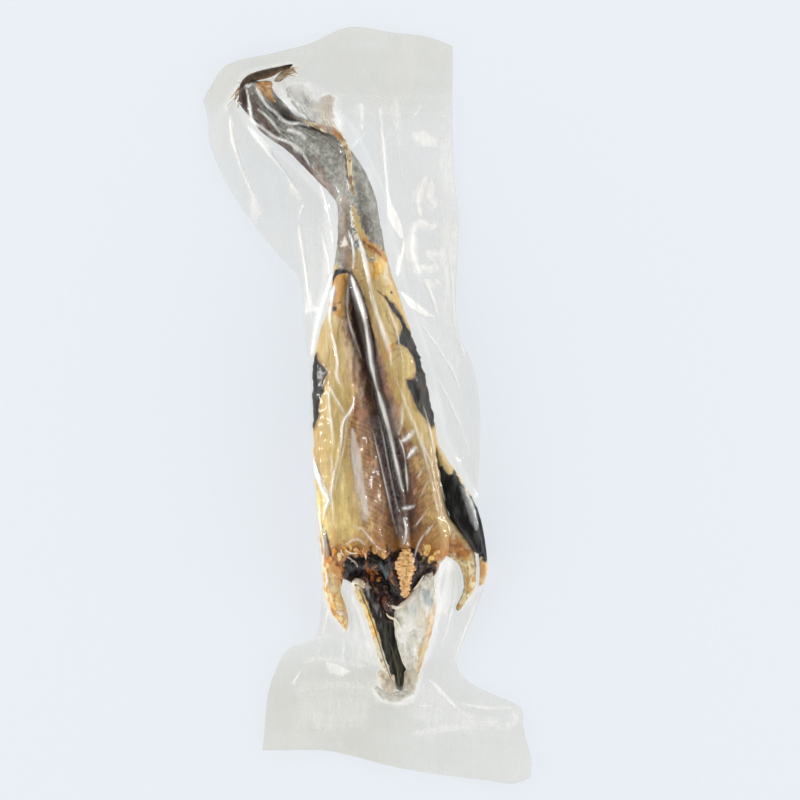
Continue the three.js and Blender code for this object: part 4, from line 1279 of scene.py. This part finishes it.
def scrap(tree, k, px, py, length, width, angle, colour, second):
    """A small bent strip that rests on what is under it."""
    stations = []
    for u in np.linspace(-0.5, 0.5, 4):
        turn = np.radians(angle + 35 * u * (-1) ** k)
        a, b = plan([(px + length * u * np.cos(turn), py - length * u * np.sin(turn))])[0]
        half = width * PX / 2 * (1 - 0.5 * (u + 0.5))
        stations.append([a, b, half, fish_top(tree, a, b, 15) + 0.8, 4.5 - 2 * (u + 0.5)])
    t = ribbon(stations, step=0.6, across=14, under=8, ends=(2, 1.5), ragged=0.25, seed=100 + k)
    t.raise_top(0.7 * t.fbm(1.6, 1.6, 3, k))
    t.colour = mix(colour, second, 0.45 + 0.9 * t.fbm(2, 2, 3, k + 60))
    return t


def lappet(tree, k, line, colour, second):
    """A longer strip or thread, held a little over what is under it."""
    stations = []
    for px, py, half in line:
        a, b = plan([(px, py)])[0]
        stations.append([a, b, half, fish_top(tree, a, b, 15) + 3.0, min(2 * half, 4.0)])
    t = ribbon(stations, step=0.6, across=16, under=8, ends=(2, 2), ragged=0.12, seed=200 + k)
    t.raise_top(0.3 * t.fbm(2, 2, 2, k + 9))
    t.colour = mix(colour, second, 0.3 + 0.8 * t.fbm(2.5, 4, 3, k + 90))
    return t


def build_neck_scraps():
    """Torn flesh, gut and threads at the cut neck."""
    tree = fish_tree()
    scraps = [scrap(tree, k, *row) for k, row in enumerate(SCRAPS)]
    lappets = [lappet(tree, k, *row) for k, row in enumerate(LAPPETS)]
    add_fish("neck_scraps", scraps + lappets, flesh)


build_trunk()
build_tail_fin()
build_tail_shreds()
build_belly_ridge()
build_anal_fin()
build_collar_left()
build_collar_right()
build_throat_scoop()
build_throat_tip()
build_pectoral_left()
build_pectoral_right()
build_flap_prong()
build_right_flap()
build_vertebrae()
build_neck_scraps()

# ---------------------------------------------------------------- film

BAG_SIDES = {
    "bottom": [[-97, -319], [-42, -319], [-20, -323], [24, -334], [68, -342], [112, -347], [134, -350],
               [151, -345]],
    "right": [
        [151, -345], [152, -328], [145, -301], [142, -280], [118, -268], [96, -257], [83, -241], [87, -224],
        [104, -180], [110, -158], [109, -136], [104, -114], [102, -87], [104, -40], [104, 0], [96, 41],
        [86, 63], [82, 90], [85, 175], [81, 207], [79, 253], [79, 333],
    ],
    "top": [[-152, 283], [-145, 295], [-131, 314], [-86, 326], [-53, 335], [-18, 350], [24, 345], [57, 341],
            [79, 333]],
    "left": [
        [-97, -319], [-95, -301], [-92, -268], [-85, -246], [-74, -226], [-48, -213], [-43, -190],
        [-42, -160], [-47, -110], [-48, -75], [-52, -47], [-53, 35], [-58, 70], [-63, 118], [-73, 129],
        [-101, 162], [-131, 207], [-146, 244], [-147, 262], [-152, 283],
    ],
}
COLUMNS, ROWS = 216, 452
FLAP_THICKNESS = 1.2
RIM_WIDTH = 3.0  # over which the two webs come together
DROOP_RADIUS, BRIDGE_RADIUS = 140.0, 9.0
FLAP_CLEARANCE, FLAP_WAVE, FLAP_WAVELENGTH = 1.2, 2.2, 95.0
OVER_FISH, UNDER_FISH = 0.45, 0.35  # between the fish and the film
OPEN_HEIGHT = 99.0  # higher than anything
CREASE_REACH = 12.0  # millimetres round a crease, beyond which it does nothing
LEAST_WHITE, MOST_WHITE = 0.003, 0.92
LONG_STRIDE, CALM_SWEEPS = 1.85, 30  # how the webs settle: fast, and calmly at the last
WIDE_CREASE = 1.9  # half width in millimetres, beyond which a crease is soft all over

# Creases in the film: (pixels of the photograph, height in mm, half width in mm, whiteness)
# The whiteness is partly the film gone white where creased, partly a painted highlight along the crest.
CREASES = [
    # along the body
    ([(357, 232), (363, 253), (368, 275), (373, 300), (379, 320), (385, 338), (390, 355), (392, 371)], 2.0,
     1.6, 0.55),
    ([(392, 371), (398, 384), (408, 410), (420, 440), (430, 476), (438, 515)], 0.9, 1.0, 0.3),
    # this and the next: the white streak along the backbone, a painted highlight on the film's ridge
    ([(350, 272), (357, 293), (364.5, 318), (368.5, 342), (373, 372), (380, 400)], 2.0, 1.5, 0.9),
    ([(376, 385), (383, 408), (388, 426), (392, 443), (396, 461), (400, 480), (404, 497)], 2.2, 1.5, 0.8),
    ([(348, 229), (353, 244), (354, 262), (353, 272)], 1.2, 0.8, 0.6),
    ([(349, 282), (348, 301), (348, 314), (352, 331), (358, 348), (363, 362)], 1.0, 0.8, 0.35),
    ([(335, 284), (332, 299), (330, 316), (332, 332)], 1.6, 1.5, 0.7),
    ([(331, 330), (336, 349), (338, 362), (338, 378), (343, 388)], 1.6, 1.1, 0.7),
    ([(329, 388), (330, 404), (332, 422), (335, 450)], 1.5, 1.5, 0.5),
    ([(329, 384), (335, 396), (342, 408), (346, 416)], 1.3, 0.8, 0.55),
    ([(355, 397), (350, 412), (345, 419), (342, 440), (339, 456), (335, 472), (332, 490), (334, 512),
      (334, 530)], 2.0, 1.2, 0.6),
    ([(352, 404), (347, 424), (345, 444), (340, 466), (334, 494)], 1.2, 0.7, 0.4),
    ([(315, 459), (317, 472), (323, 488), (329, 498), (326, 508), (323, 522)], 2.0, 1.8, 0.85),
    ([(331, 452), (333, 464), (332, 478)], 1.2, 0.8, 0.4),
    ([(351, 430), (355, 452), (357, 470), (361, 489), (364, 508), (365, 524)], 0.9, 2.6, 0.3),
    ([(371, 423), (375, 440), (380, 460), (384.5, 480), (389, 500), (393.5, 520), (398, 537)], 1.0, 0.6,
     0.4),
    ([(379, 416), (384, 440), (387.5, 460), (391.5, 480), (396, 500), (401, 516)], 0.8, 0.5, 0.35),
    ([(416, 479), (420, 473), (424, 466)], 0.8, 0.6, 0.35),
    ([(420, 497), (425, 486), (428, 479)], 0.8, 0.6, 0.35),
    ([(414, 527), (421, 518), (427, 510)], 0.8, 0.6, 0.4),
    ([(425, 535), (429, 529), (433, 524)], 0.8, 0.6, 0.4),
    ([(398, 436), (402, 445), (405, 457), (406, 470), (407, 481), (408, 494)], 1.8, 0.9, 0.75),
    ([(400, 442), (407, 438), (415, 429)], 1.4, 1.8, 0.6),
    ([(406, 459), (411, 453), (417, 445)], 1.4, 1.6, 0.6),
    ([(402, 402), (402, 422), (398, 437)], 1.0, 1.0, 0.35),
    ([(385, 299), (391, 316), (397, 333), (400, 350), (405, 368)], 1.0, 0.8, 0.3),
    ([(401, 508), (409, 507), (416, 505)], 1.4, 1.2, 0.55),
    ([(403, 515), (406, 528), (404, 545)], 1.4, 1.3, 0.6),
    ([(419, 425), (422, 442), (431, 464), (435, 483), (440, 502), (442, 521)], 1.2, 0.7, 0.4),
    ([(421, 400), (428, 422), (434, 451), (438, 476), (446, 504)], 1.2, 0.7, 0.35),
    ([(413, 560), (420, 540), (431, 524)], 1.2, 0.6, 0.4),
    ([(345, 546), (351, 540), (358, 538), (366, 545)], 1.2, 0.8, 0.45),
    ([(350, 524), (362, 528), (372, 540), (384, 552)], 1.0, 0.6, 0.4),
    ([(326, 572), (327, 582), (325, 588)], 1.2, 1.0, 0.7),
    ([(334, 612), (341, 613), (346, 619)], 1.0, 0.9, 0.7),
    ([(320, 500), (320, 520), (324, 545), (322, 570)], 1.4, 1.0, 0.5),
    ([(472, 484), (478, 505), (482, 530)], 1.2, 0.8, 0.35),
    # round the tail
    ([(245, 84), (248, 96), (250, 108), (252.5, 120), (263, 128), (275, 137), (290, 143), (302, 152),
      (312, 172)], 1.6, 1.0, 0.8),
    ([(244, 84), (248, 86), (252, 83)], 1.2, 1.0, 0.6),
    ([(255, 85), (260, 95), (268, 107), (277, 114), (281, 122)], 1.6, 0.9, 0.75),
    ([(256, 108), (264, 114), (272, 122), (282, 135)], 1.4, 0.8, 0.7),
    ([(278, 114), (284, 121), (291, 124), (302, 124), (312, 128)], 1.2, 0.8, 0.7),
    ([(286, 130), (294, 132), (301, 135), (307, 141)], 1.4, 1.5, 0.65),
    ([(276, 88), (284, 101), (296, 114), (308, 122)], 1.2, 1.0, 0.45),
    ([(286, 90), (298, 104), (306, 112)], 1.0, 1.4, 0.45),
    # margin to the left of the tail
    ([(229, 112), (231, 128), (234, 144), (239, 162), (246, 180), (253, 194), (259, 206)], 0.8, 1.2, 0.75),
    ([(243, 121), (256, 136), (270, 153), (284, 171), (294, 186), (302, 197)], 0.8, 1.4, 0.75),
    ([(305, 201), (301, 210), (298, 219)], 0.8, 1.0, 0.7),
    ([(298, 219), (300, 234), (303, 252), (306, 272), (308, 290), (309, 302)], 0.8, 1.2, 0.85),
    ([(305, 313), (312, 311), (322, 308)], 0.8, 1.2, 0.7),
    ([(318, 180), (325, 200), (330, 224), (333, 246)], 0.6, 0.9, 0.4),
    ([(322, 232), (325, 246), (328, 262), (329, 276)], 0.8, 1.1, 0.5),
    ([(333, 270), (327, 290), (320, 312), (314, 338), (311, 358)], 1.4, 1.4, 0.7),
    ([(224, 112), (232, 100), (236, 84)], 0.6, 1.0, 0.35),
    # margin to the right
    ([(379, 100), (380, 118), (382, 140), (384, 162), (386, 182), (388, 200)], 0.8, 1.3, 0.85),
    ([(404, 236), (402, 250), (399, 264), (397, 277)], 0.8, 1.2, 0.8),
    ([(361, 100), (361, 114), (362, 130)], 0.4, 2.0, 0.45),
    ([(396, 96), (396, 120), (398, 150)], 0.4, 2.4, 0.2),
    ([(350, 150), (358, 140), (368, 130)], 0.6, 0.8, 0.2),
    ([(422, 102), (417, 110), (410, 120)], 0.6, 0.7, 0.5),
    ([(428, 173), (421, 184), (417, 198), (418, 208), (422, 217)], 0.5, 2.4, 0.7),
    ([(432, 178), (429, 188), (428, 198), (434, 204), (436, 209)], 0.5, 2.2, 0.6),
    ([(411, 234), (415, 224), (422, 222), (430, 226), (438, 222)], 0.5, 2.6, 0.75),
    ([(413, 228), (411, 240), (411, 252), (415, 264), (421, 276)], 0.6, 2.3, 0.75),
    ([(421, 276), (429, 289), (434, 303), (438, 316)], 0.8, 1.1, 0.55),
    ([(424, 252), (434, 254), (446, 252)], 0.4, 2.4, 0.6),
    ([(418, 266), (430, 268), (440, 265)], 0.4, 2.0, 0.55),
    ([(422, 278), (430, 284), (441, 280)], 0.4, 2.2, 0.4),
    ([(440, 250), (446, 280), (444, 300)], 0.5, 2.6, 0.3),
    ([(420, 322), (438, 348), (454, 374), (462, 398)], 0.7, 1.0, 0.35),
    ([(434, 372), (450, 402), (462, 430), (472, 462)], 0.6, 1.0, 0.3),
    ([(455, 455), (459, 461), (464, 455)], 0.7, 0.8, 0.5),
    ([(452, 300), (460, 330), (464, 360)], 0.6, 2.6, 0.25),
    # under the throat
    ([(450, 556), (444, 584), (438, 612), (430, 646), (424, 668)], 0.8, 2.4, 0.15),
    ([(456, 566), (455, 590), (449, 620), (440, 650)], 0.9, 1.95, 0.22),
    ([(478, 592), (468, 622), (458, 650), (456, 668)], 0.9, 1.95, 0.2),
    ([(344, 636), (344, 650), (342, 664)], 0.7, 1.2, 0.45),
    ([(330, 606), (324, 630), (318, 656)], 0.7, 1.6, 0.3),
    ([(352, 604), (358, 630), (364, 656)], 0.7, 1.4, 0.3),
    ([(300, 664), (322, 660), (346, 663), (368, 668)], 0.5, 2.2, 0.25),
    ([(291, 688), (296, 679), (301, 671)], 0.7, 0.8, 0.7),
    ([(320, 710), (330, 724), (337, 738), (340, 752)], 0.4, 1.95, 0.1),
    ([(370, 690), (345, 687), (318, 688), (290, 692)], 0.4, 3.2, 0.2),
    ([(424, 676), (438, 690), (454, 707), (474, 723)], 0.8, 1.5, 0.5),
    ([(405, 702), (424, 707), (446, 713)], 0.6, 1.0, 0.45),
    ([(455, 704), (475, 708), (497, 710), (516, 709)], 0.6, 1.3, 0.45),
    ([(410, 736), (440, 731), (475, 727), (505, 722)], 0.4, 2.8, 0.28),
    ([(512, 712), (516, 722), (508, 728), (494, 729)], 0.4, 1.95, 0.25),
]
# Milky places and painted highlights in the film: (pixels of the photograph, whiteness, softness of the
# edge in mm)
MILKY_AND_PAINTED_HIGHLIGHT = [
    ([(439, 562), (446, 556), (456, 566), (463, 582), (458, 600), (447, 616), (440, 612), (437, 592)], 0.42,
     3.0),
    ([(342, 588), (350, 588), (360, 612), (368, 640), (376, 668), (352, 660), (346, 630)], 0.2, 2.5),
    ([(274, 82), (300, 76), (326, 90), (322, 122), (300, 120), (284, 104)], 0.3, 4.0),
    # a painted highlight over the fin behind the vent
    ([(286, 80), (300, 79), (309, 92), (304, 102), (292, 98)], 0.7, 4.0),
    ([(312, 100), (340, 94), (342, 130), (324, 132), (312, 118)], 0.3, 4.0),
    ([(460, 486), (466, 489), (474, 505), (477, 530), (470, 520), (465, 503)], 0.2, 1.5),
    # a painted highlight on the inner slope of the left lobe
    ([(351, 428), (354, 428), (360, 448), (363, 470), (366, 490), (370, 516), (363, 512), (357, 488),
      (352, 460)], 0.42, 1.3),
    ([(384, 410), (396, 406), (400, 430), (392, 440)], 0.12, 2.0),
    ([(368, 684), (384, 680), (400, 690), (420, 678), (424, 694), (404, 708), (378, 704)], 0.25, 4.0),
    ([(370, 692), (384, 695), (398, 698), (412, 693), (422, 688), (418, 702), (398, 710), (376, 704)], 0.3,
     3.0),
    ([(412, 600), (424, 588), (432, 600), (428, 626), (420, 650), (410, 672), (403, 655), (400, 628)], 0.28,
     3.0),
    # left margin: mostly painted highlights on the film's slopes
    ([(300, 212), (334, 208), (334, 268), (312, 330), (304, 300)], 0.1, 4.0),
    ([(229, 114), (233, 124), (237, 148), (234, 152), (229, 138), (228, 124)], 0.75, 0.9),
    ([(250, 190), (258, 203), (260, 212), (254, 222), (250, 212)], 0.45, 2.4),
    ([(303, 262), (308, 272), (310, 292), (313, 304), (320, 309), (305, 313), (306, 296)], 0.7, 1.0),
    ([(288, 182), (297, 186), (304, 200), (298, 200), (290, 192)], 0.4, 1.4),
    ([(314, 460), (318, 470), (324, 482), (331, 494), (331, 505), (327, 500), (320, 488), (315, 474)], 0.8,
     0.8),
    # right margin: mostly painted reflections on the waves of the flap
    ([(384, 128), (452, 112), (452, 260), (448, 330), (406, 270), (396, 210)], 0.08, 4.0),
    ([(387, 186), (391, 202), (397, 212), (402, 226), (404, 239), (400, 237), (393, 226), (388, 216)], 0.95,
     0.6),
    ([(413, 131), (424, 129), (437, 138), (437, 145), (424, 143), (414, 138)], 0.7, 3.0),
    ([(440, 142), (454, 130), (458, 250), (456, 330), (444, 326), (440, 250)], 0.4, 6.0),
    ([(427, 196), (436, 197), (438, 207), (431, 210), (427, 204)], 0.7, 2.4),
    ([(400, 291), (412, 299), (426, 310), (440, 319), (426, 316), (410, 307)], 0.75, 0.9),
    ([(412, 300), (440, 322), (458, 350), (464, 420), (452, 400), (432, 352)], 0.14, 5.0),
    # lower end
    ([(325, 663), (338, 666), (350, 673), (343, 677), (329, 675)], 0.75, 1.2),
    ([(418, 680), (436, 690), (462, 712), (500, 728), (470, 734), (430, 730), (412, 716)], 0.22, 6.0),
    ([(322, 678), (350, 680), (374, 688), (372, 698), (340, 698), (320, 692)], 0.15, 4.0),
    ([(298, 700), (330, 695), (370, 702), (364, 728), (330, 735), (299, 726)], 0.2, 8.0),
]
SEAL_PX = [(338, 102), (396, 104), (456, 102)]
SEAL_LINE_PX = [[(338, 93), (396, 96), (456, 93)], [(338, 111), (396, 114), (456, 111)]]


def centripetal(points, per_span=24):
    """The same smooth line that the bag's outline follows in the frame."""
    p = np.asarray(points, float)
    p = np.vstack([2 * p[0] - p[1], p, 2 * p[-1] - p[-2]])
    made = []
    for a, b, c, d in zip(p[:-3], p[1:-2], p[2:-1], p[3:]):
        t = np.cumsum([0] + [max(np.linalg.norm(v - u), 1e-6) ** 0.5 for u, v in ((a, b), (b, c), (c, d))])
        f = np.linspace(t[1], t[2], per_span, endpoint=False)[:, None]
        ab = (t[1] - f) / (t[1] - t[0]) * a + (f - t[0]) / (t[1] - t[0]) * b
        bc = (t[2] - f) / (t[2] - t[1]) * b + (f - t[1]) / (t[2] - t[1]) * c
        cd = (t[3] - f) / (t[3] - t[2]) * c + (f - t[2]) / (t[3] - t[2]) * d
        abc = (t[2] - f) / (t[2] - t[0]) * ab + (f - t[0]) / (t[2] - t[0]) * bc
        bcd = (t[3] - f) / (t[3] - t[1]) * bc + (f - t[1]) / (t[3] - t[1]) * cd
        made.append((t[2] - f) / (t[2] - t[1]) * abc + (f - t[1]) / (t[2] - t[1]) * bcd)
    return np.vstack(made + [p[-2:-1]])


def bag_plan():
    """The film's vertices seen from above, spread between the bag's four sides."""
    v = np.linspace(0, 1, ROWS + 1)
    u = np.linspace(0, 1, COLUMNS + 1)

    def side(points):
        line = centripetal(points)
        y = line[0, 1] + (line[-1, 1] - line[0, 1]) * v
        return np.stack([np.interp(y, np.maximum.accumulate(line[:, 1]), line[:, 0]), y], -1)

    def bow(points):
        line = centripetal(points)
        run = lengths_along(line)
        even = np.stack([np.interp(u * run[-1], run, line[:, k]) for k in (0, 1)], -1)
        return even - (even[0] * (1 - u[:, None]) + even[-1] * u[:, None])

    left, right = side(BAG_SIDES["left"]), side(BAG_SIDES["right"])
    bottom, top = bow(BAG_SIDES["bottom"])[None], bow(BAG_SIDES["top"])[None]
    grid = left[:, None] * (1 - u[None, :, None]) + right[:, None] * u[None, :, None]
    grid = grid + bottom * (1 - v[:, None, None]) + top * v[:, None, None]
    (west, south, _), (east, north, _) = np.array(cad_box) / MM
    return np.clip(grid[..., 0], west, east), np.clip(grid[..., 1], south, north)


def settle(x, y, z, low, high, curvature, sweeps):
    """Lets a web hang between low and high, sagging with the given curvature where it touches neither."""

    def strength(a, b):
        return 1 / np.maximum((x[a] - x[b]) ** 2 + (y[a] - y[b]) ** 2, 0.05)

    up, down, right, left = (np.zeros_like(z) for _ in range(4))
    up[:-1] = strength(np.s_[:-1], np.s_[1:])
    down[1:] = up[:-1]
    right[:, :-1] = strength(np.s_[:, :-1], np.s_[:, 1:])
    left[:, 1:] = right[:, :-1]
    total = up + down + right + left
    checker = np.add.outer(np.arange(z.shape[0]), np.arange(z.shape[1])) % 2
    z = z.copy()
    for sweep in range(sweeps):
        stride = LONG_STRIDE if sweep < sweeps - CALM_SWEEPS else 1.0
        for colour in (0, 1):
            pull = np.full_like(z, -curvature)
            pull[:-1] += up[:-1] * z[1:]
            pull[1:] += down[1:] * z[:-1]
            pull[:, :-1] += right[:, :-1] * z[:, 1:]
            pull[:, 1:] += left[:, 1:] * z[:, :-1]
            moved = np.clip(z + stride * (pull / total - z), low, high)
            z = np.where(checker == colour, moved, z)
    return z


def widest(a):
    """The largest value among each vertex and its neighbours."""
    b = a.copy()
    b[:-1] = np.maximum(b[:-1], a[1:])
    b[1:] = np.maximum(b[1:], a[:-1])
    c = b.copy()
    c[:, :-1] = np.maximum(c[:, :-1], b[:, 1:])
    c[:, 1:] = np.maximum(c[:, 1:], b[:, :-1])
    return c


def fish_reach(x, y):
    """Highest and lowest point of the fish at each (x, y): NOTHING and OPEN_HEIGHT where there is none."""
    tree = fish_tree()
    top = np.full(x.shape, NOTHING)
    bottom = np.full(x.shape, OPEN_HEIGHT)
    for place in np.ndindex(x.shape):
        a, b = float(x[place]), float(y[place])
        top[place] = fish_top(tree, a, b)
        if top[place] > 0:
            bottom[place] = tree.ray_cast(Vector((a, b, -50)), Vector((0, 0, 1)))[0].z
    return top, bottom


def add_crease(x, y, height, white, uneven, points, high, half, whiteness):
    """Raises one crease in the height and whiteness of the film, thinner and fainter towards its ends."""
    line = spline(plan(points), 2.0)
    west, south = line.min(0) - CREASE_REACH
    east, north = line.max(0) + CREASE_REACH
    near = (x > west) & (x < east) & (y > south) & (y < north)
    d, along, _ = follow(line, x[near], y[near])
    taper = smooth(np.minimum(along, 1 - along), -0.02, 0.2)
    width = half * uneven[near] * (0.4 + 0.6 * taper)
    height[near] = np.maximum(height[near], high * taper * np.exp(-(d / width) ** 1.4))
    # white along the crease: partly the film whitened where creased, partly painted highlight
    shine = whiteness * (1.05 + 0.6 * noise(along * 7, along * 0 + high, 147)) * smooth(taper, 0, 0.5)
    shoulder = np.exp(-(d / (1.6 * width)) ** 2)
    body = shoulder if half > WIDE_CREASE else 0.75 * np.exp(-(d / (0.8 * width)) ** 2) + 0.3 * shoulder
    white[near] = np.maximum(white[near], shine * body)


def crease_film(x, y):
    """Height and whiteness that the creases, the seal and the milky places give the film; much of the
    whiteness is painted highlight.
    """
    height, white = np.zeros_like(x), np.zeros_like(x)
    uneven = np.clip(1 + 0.4 * fbm(x / 16, y / 22, 2, 141), 0.5, 1.6)
    for crease in CREASES:
        add_crease(x, y, height, white, uneven, *crease)
    for polygon, whiteness, soft in MILKY_AND_PAINTED_HIGHLIGHT:
        milk_and_highlight = whiteness * (0.9 + 0.2 * fbm(x / 12, y / 18, 2, 143))
        white = np.maximum(white, milk_and_highlight * patch(polygon, x, y, soft, 0.4 * soft, 9, 145))
    white += 0.05 * stroke(SEAL_PX, x, y, 8, 0.8, 0.3)
    for line in SEAL_LINE_PX:
        bar = stroke(line, x, y, 0.7, 0.5, 0.3)
        height, white = height + 0.4 * bar, white + 0.12 * bar
    return height, white


def film_white_and_dull(x, y, on_fish, white, folds, fine_folds):
    """How white and how dull the film is: more beside the fish than over it, and most in the flat ends."""
    beside = np.where(on_fish, 0.0, 1.0)
    clouds = smooth(fbm(x / 22, y / 50, 3, 77), -0.1, 0.7)
    # milky haze beside the fish, and painted highlight along the crests of the folds
    white = white + beside * (0.09 + 0.01 * flat_ends(y) + 0.08 * clouds + 0.04 * folds)
    white = white + 0.05 * fine_folds ** 2 + LEAST_WHITE
    ends = smooth(-(y + 212), 0, 50) * (1 - 0.6 * smooth(x, 0, 60)) + 0.65 * smooth(y - 255, 0, 40)
    bands = 0.06 * fbm(x / 30, y / 30, 2, 81) + 0.16 * ends * fbm(x / 60, y / 9, 2, 83)
    return white, beside * np.clip(0.24 + 0.74 * ends + 0.12 * clouds + bands, 0, 1)


def flat_ends(y):
    """1 in the bag's two flat ends and 0 between them."""
    return np.clip(smooth(-(y + 268), 0, 14) + smooth(y - 278, 0, 20), 0, 1)


def outline_of(x, y):
    """Every third vertex round the edge of a grid, closed."""
    edges = (np.s_[0, :], np.s_[1:, -1], np.s_[-1, -2::-1], np.s_[-2::-1, 0])
    outline = np.concatenate([np.stack([x[e], y[e]], -1) for e in edges])[::3]
    return np.vstack([outline, outline[:1]])


def build_film():
    """Drapes the upper web over the fish and the lower one under it. They meet at the bag's edge."""
    x, y = bag_plan()
    top, bottom = fish_reach(x, y)
    on_fish = top > 0
    rim_distance = follow(outline_of(x, y), x, y)[0]
    rim = np.zeros_like(on_fish)
    rim[[0, -1]] = True
    rim[:, [0, -1]] = True
    rim_distance[rim] = 0
    open_rim = smooth(rim_distance / RIM_WIDTH)

    wave = FLAP_WAVE * (1 + np.sin((x + 0.6 * y) * 2 * np.pi / FLAP_WAVELENGTH)
                        * np.cos(y * 2 * np.pi / (1.7 * FLAP_WAVELENGTH)))
    low = np.where(on_fish, np.minimum((top + bottom) / 2, 20), FLAP_CLEARANCE + wave)
    middle = settle(x, y, low, low, np.where(on_fish, low, OPEN_HEIGHT), 1 / DROOP_RADIUS, 500)
    half = FLAP_THICKNESS / 2 * open_rim
    roof = np.where(on_fish, widest(np.where(on_fish, top + OVER_FISH, NOTHING)), NOTHING)
    resting = np.maximum(middle + half, roof)
    upper = settle(x, y, resting, resting, np.where(rim, middle, OPEN_HEIGHT), 1 / BRIDGE_RADIUS, 260)

    crease, white = crease_film(x, y)
    slant = x + 0.12 * y
    folds = ridged(slant / 14 + 0.25 * noise(x / 30, y / 30, 2), y / 90, 71, 7)
    folds = folds * smooth(fbm(x / 40, y / 60, 2, 75), -0.2, 0.5)
    fine_folds = ridged(slant / 5.5, y / 60, 73, 6) * smooth(fbm(x / 20, y / 30, 2, 79), -0.1, 0.6)
    rough = np.where(on_fish, 0.45, 0.5) * (1 - 0.7 * flat_ends(y))
    lift = crease + rough * (0.8 * folds + 0.35 * fine_folds)
    upper = np.minimum(upper + lift * open_rim, TALLEST_FILM)

    hang = np.where(on_fish, bottom - UNDER_FISH, OPEN_HEIGHT)
    ceiling = np.where(rim, middle, np.maximum(np.minimum(middle - half, hang), LOWEST_FILM))
    floor = np.where(rim, middle, LOWEST_FILM)
    lower = settle(x, y, ceiling, floor, ceiling, -1 / BRIDGE_RADIUS, 200)
    lower = np.where(rim, middle, np.clip(np.minimum(lower, upper - 0.25 * open_rim), LOWEST_FILM, None))

    white, dull = film_white_and_dull(x, y, on_fish, white, folds, fine_folds)
    rim_line = 0.1 * smooth(rim_distance, 1.6, 0.2)
    return x, y, upper, lower, np.clip(white * open_rim + rim_line, LEAST_WHITE, MOST_WHITE), dull


def sheet_faces(shape, flip):
    """The squares of a grid of vertices."""
    g = np.arange(shape[0] * shape[1]).reshape(shape)
    quads = [g[:-1, :-1], g[:-1, 1:], g[1:, 1:], g[1:, :-1]]
    return np.stack(quads[::-1] if flip else quads, -1).reshape(-1, 4).tolist()


def add_web(name, x, y, z, haze_and_highlight, dull, flip):
    """One web of film in place of the bag."""
    points = np.stack([x, y, z], -1).reshape(-1, 3)
    web = add_piece(name, points, sheet_faces(x.shape, flip), film,
                    numbers={"haze_and_highlight": haze_and_highlight, "dull": dull})
    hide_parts("sealed_bag")


film_x, film_y, film_upper, film_lower, film_white, film_dull = build_film()
add_web("film_front", film_x, film_y, film_upper, film_white, film_dull, False)
every_second = np.s_[::2, ::2]
add_web("film_back", film_x[every_second], film_y[every_second], film_lower[every_second],
        np.minimum(film_white[every_second], 0.06), film_dull[every_second], True)

# ---------------------------------------------------------------- stage, light and camera

bpy.ops.mesh.primitive_plane_add(size=8, location=(0, 0, -0.0004))
ground = bpy.context.object
ground.name = "floor"
ground.data.materials.append(floor_material())

scene = bpy.context.scene
scene.view_settings.view_transform = "Standard"
scene.view_settings.look = "None"


def light_sky():
    """Soft light from all sides, dark overhead, so that flat film mirrors little of it."""
    world = bpy.data.worlds.new("studio")
    scene.world = world
    world.use_nodes = True
    tree = world.node_tree
    place = add_node(tree, "TexCoord").outputs["Generated"]
    height = add_node(tree, "SeparateXYZ", {"Vector": place}).outputs["Z"]
    background = tree.nodes["Background"]
    background.inputs["Color"].default_value = (1, 1, 1, 1)
    fall = remap(tree, height, (0.35, 0.75), (2.5, 0.08), interpolation_type="SMOOTHSTEP")
    tree.links.new(fall, background.inputs["Strength"])


def softbox(name, zenith, azimuth, distance, size, radiance):
    """A rectangle of light that faces the object. Azimuth 0 is towards +X, and angles are in degrees."""
    light = bpy.data.lights.new(name, "AREA")
    light.shape = "RECTANGLE"
    light.size, light.size_y = size
    light.energy = radiance * np.pi * size[0] * size[1]
    lamp = bpy.data.objects.new(name, light)
    z, a = np.radians(zenith), np.radians(azimuth)
    out = Vector((np.sin(z) * np.cos(a), np.sin(z) * np.sin(a), np.cos(z)))
    lamp.location = out * distance
    lamp.rotation_mode = "QUATERNION"
    lamp.rotation_quaternion = out.to_track_quat("Z", "Y")
    scene.collection.objects.link(lamp)


light_sky()
softbox("strip_left", 84, 180, 2.1, (0.14, 1.7), 28)
softbox("strip_right", 86, 0, 2.1, (0.14, 1.7), 28)
softbox("strip_top", 70, 90, 2.1, (1.5, 0.12), 8)

camera_data = bpy.data.cameras.new("camera")
camera_data.lens = LENS
camera_data.sensor_width = SENSOR
camera = bpy.data.objects.new("camera", camera_data)
centre = plan([VIEW_CENTRE_PX])[0]
distance = PICTURE_PX * PX * camera_data.lens / camera_data.sensor_width
camera.location = (centre[0] * MM, centre[1] * MM, (distance + MEAN_HEIGHT) * MM)
scene.collection.objects.link(camera)
scene.camera = camera
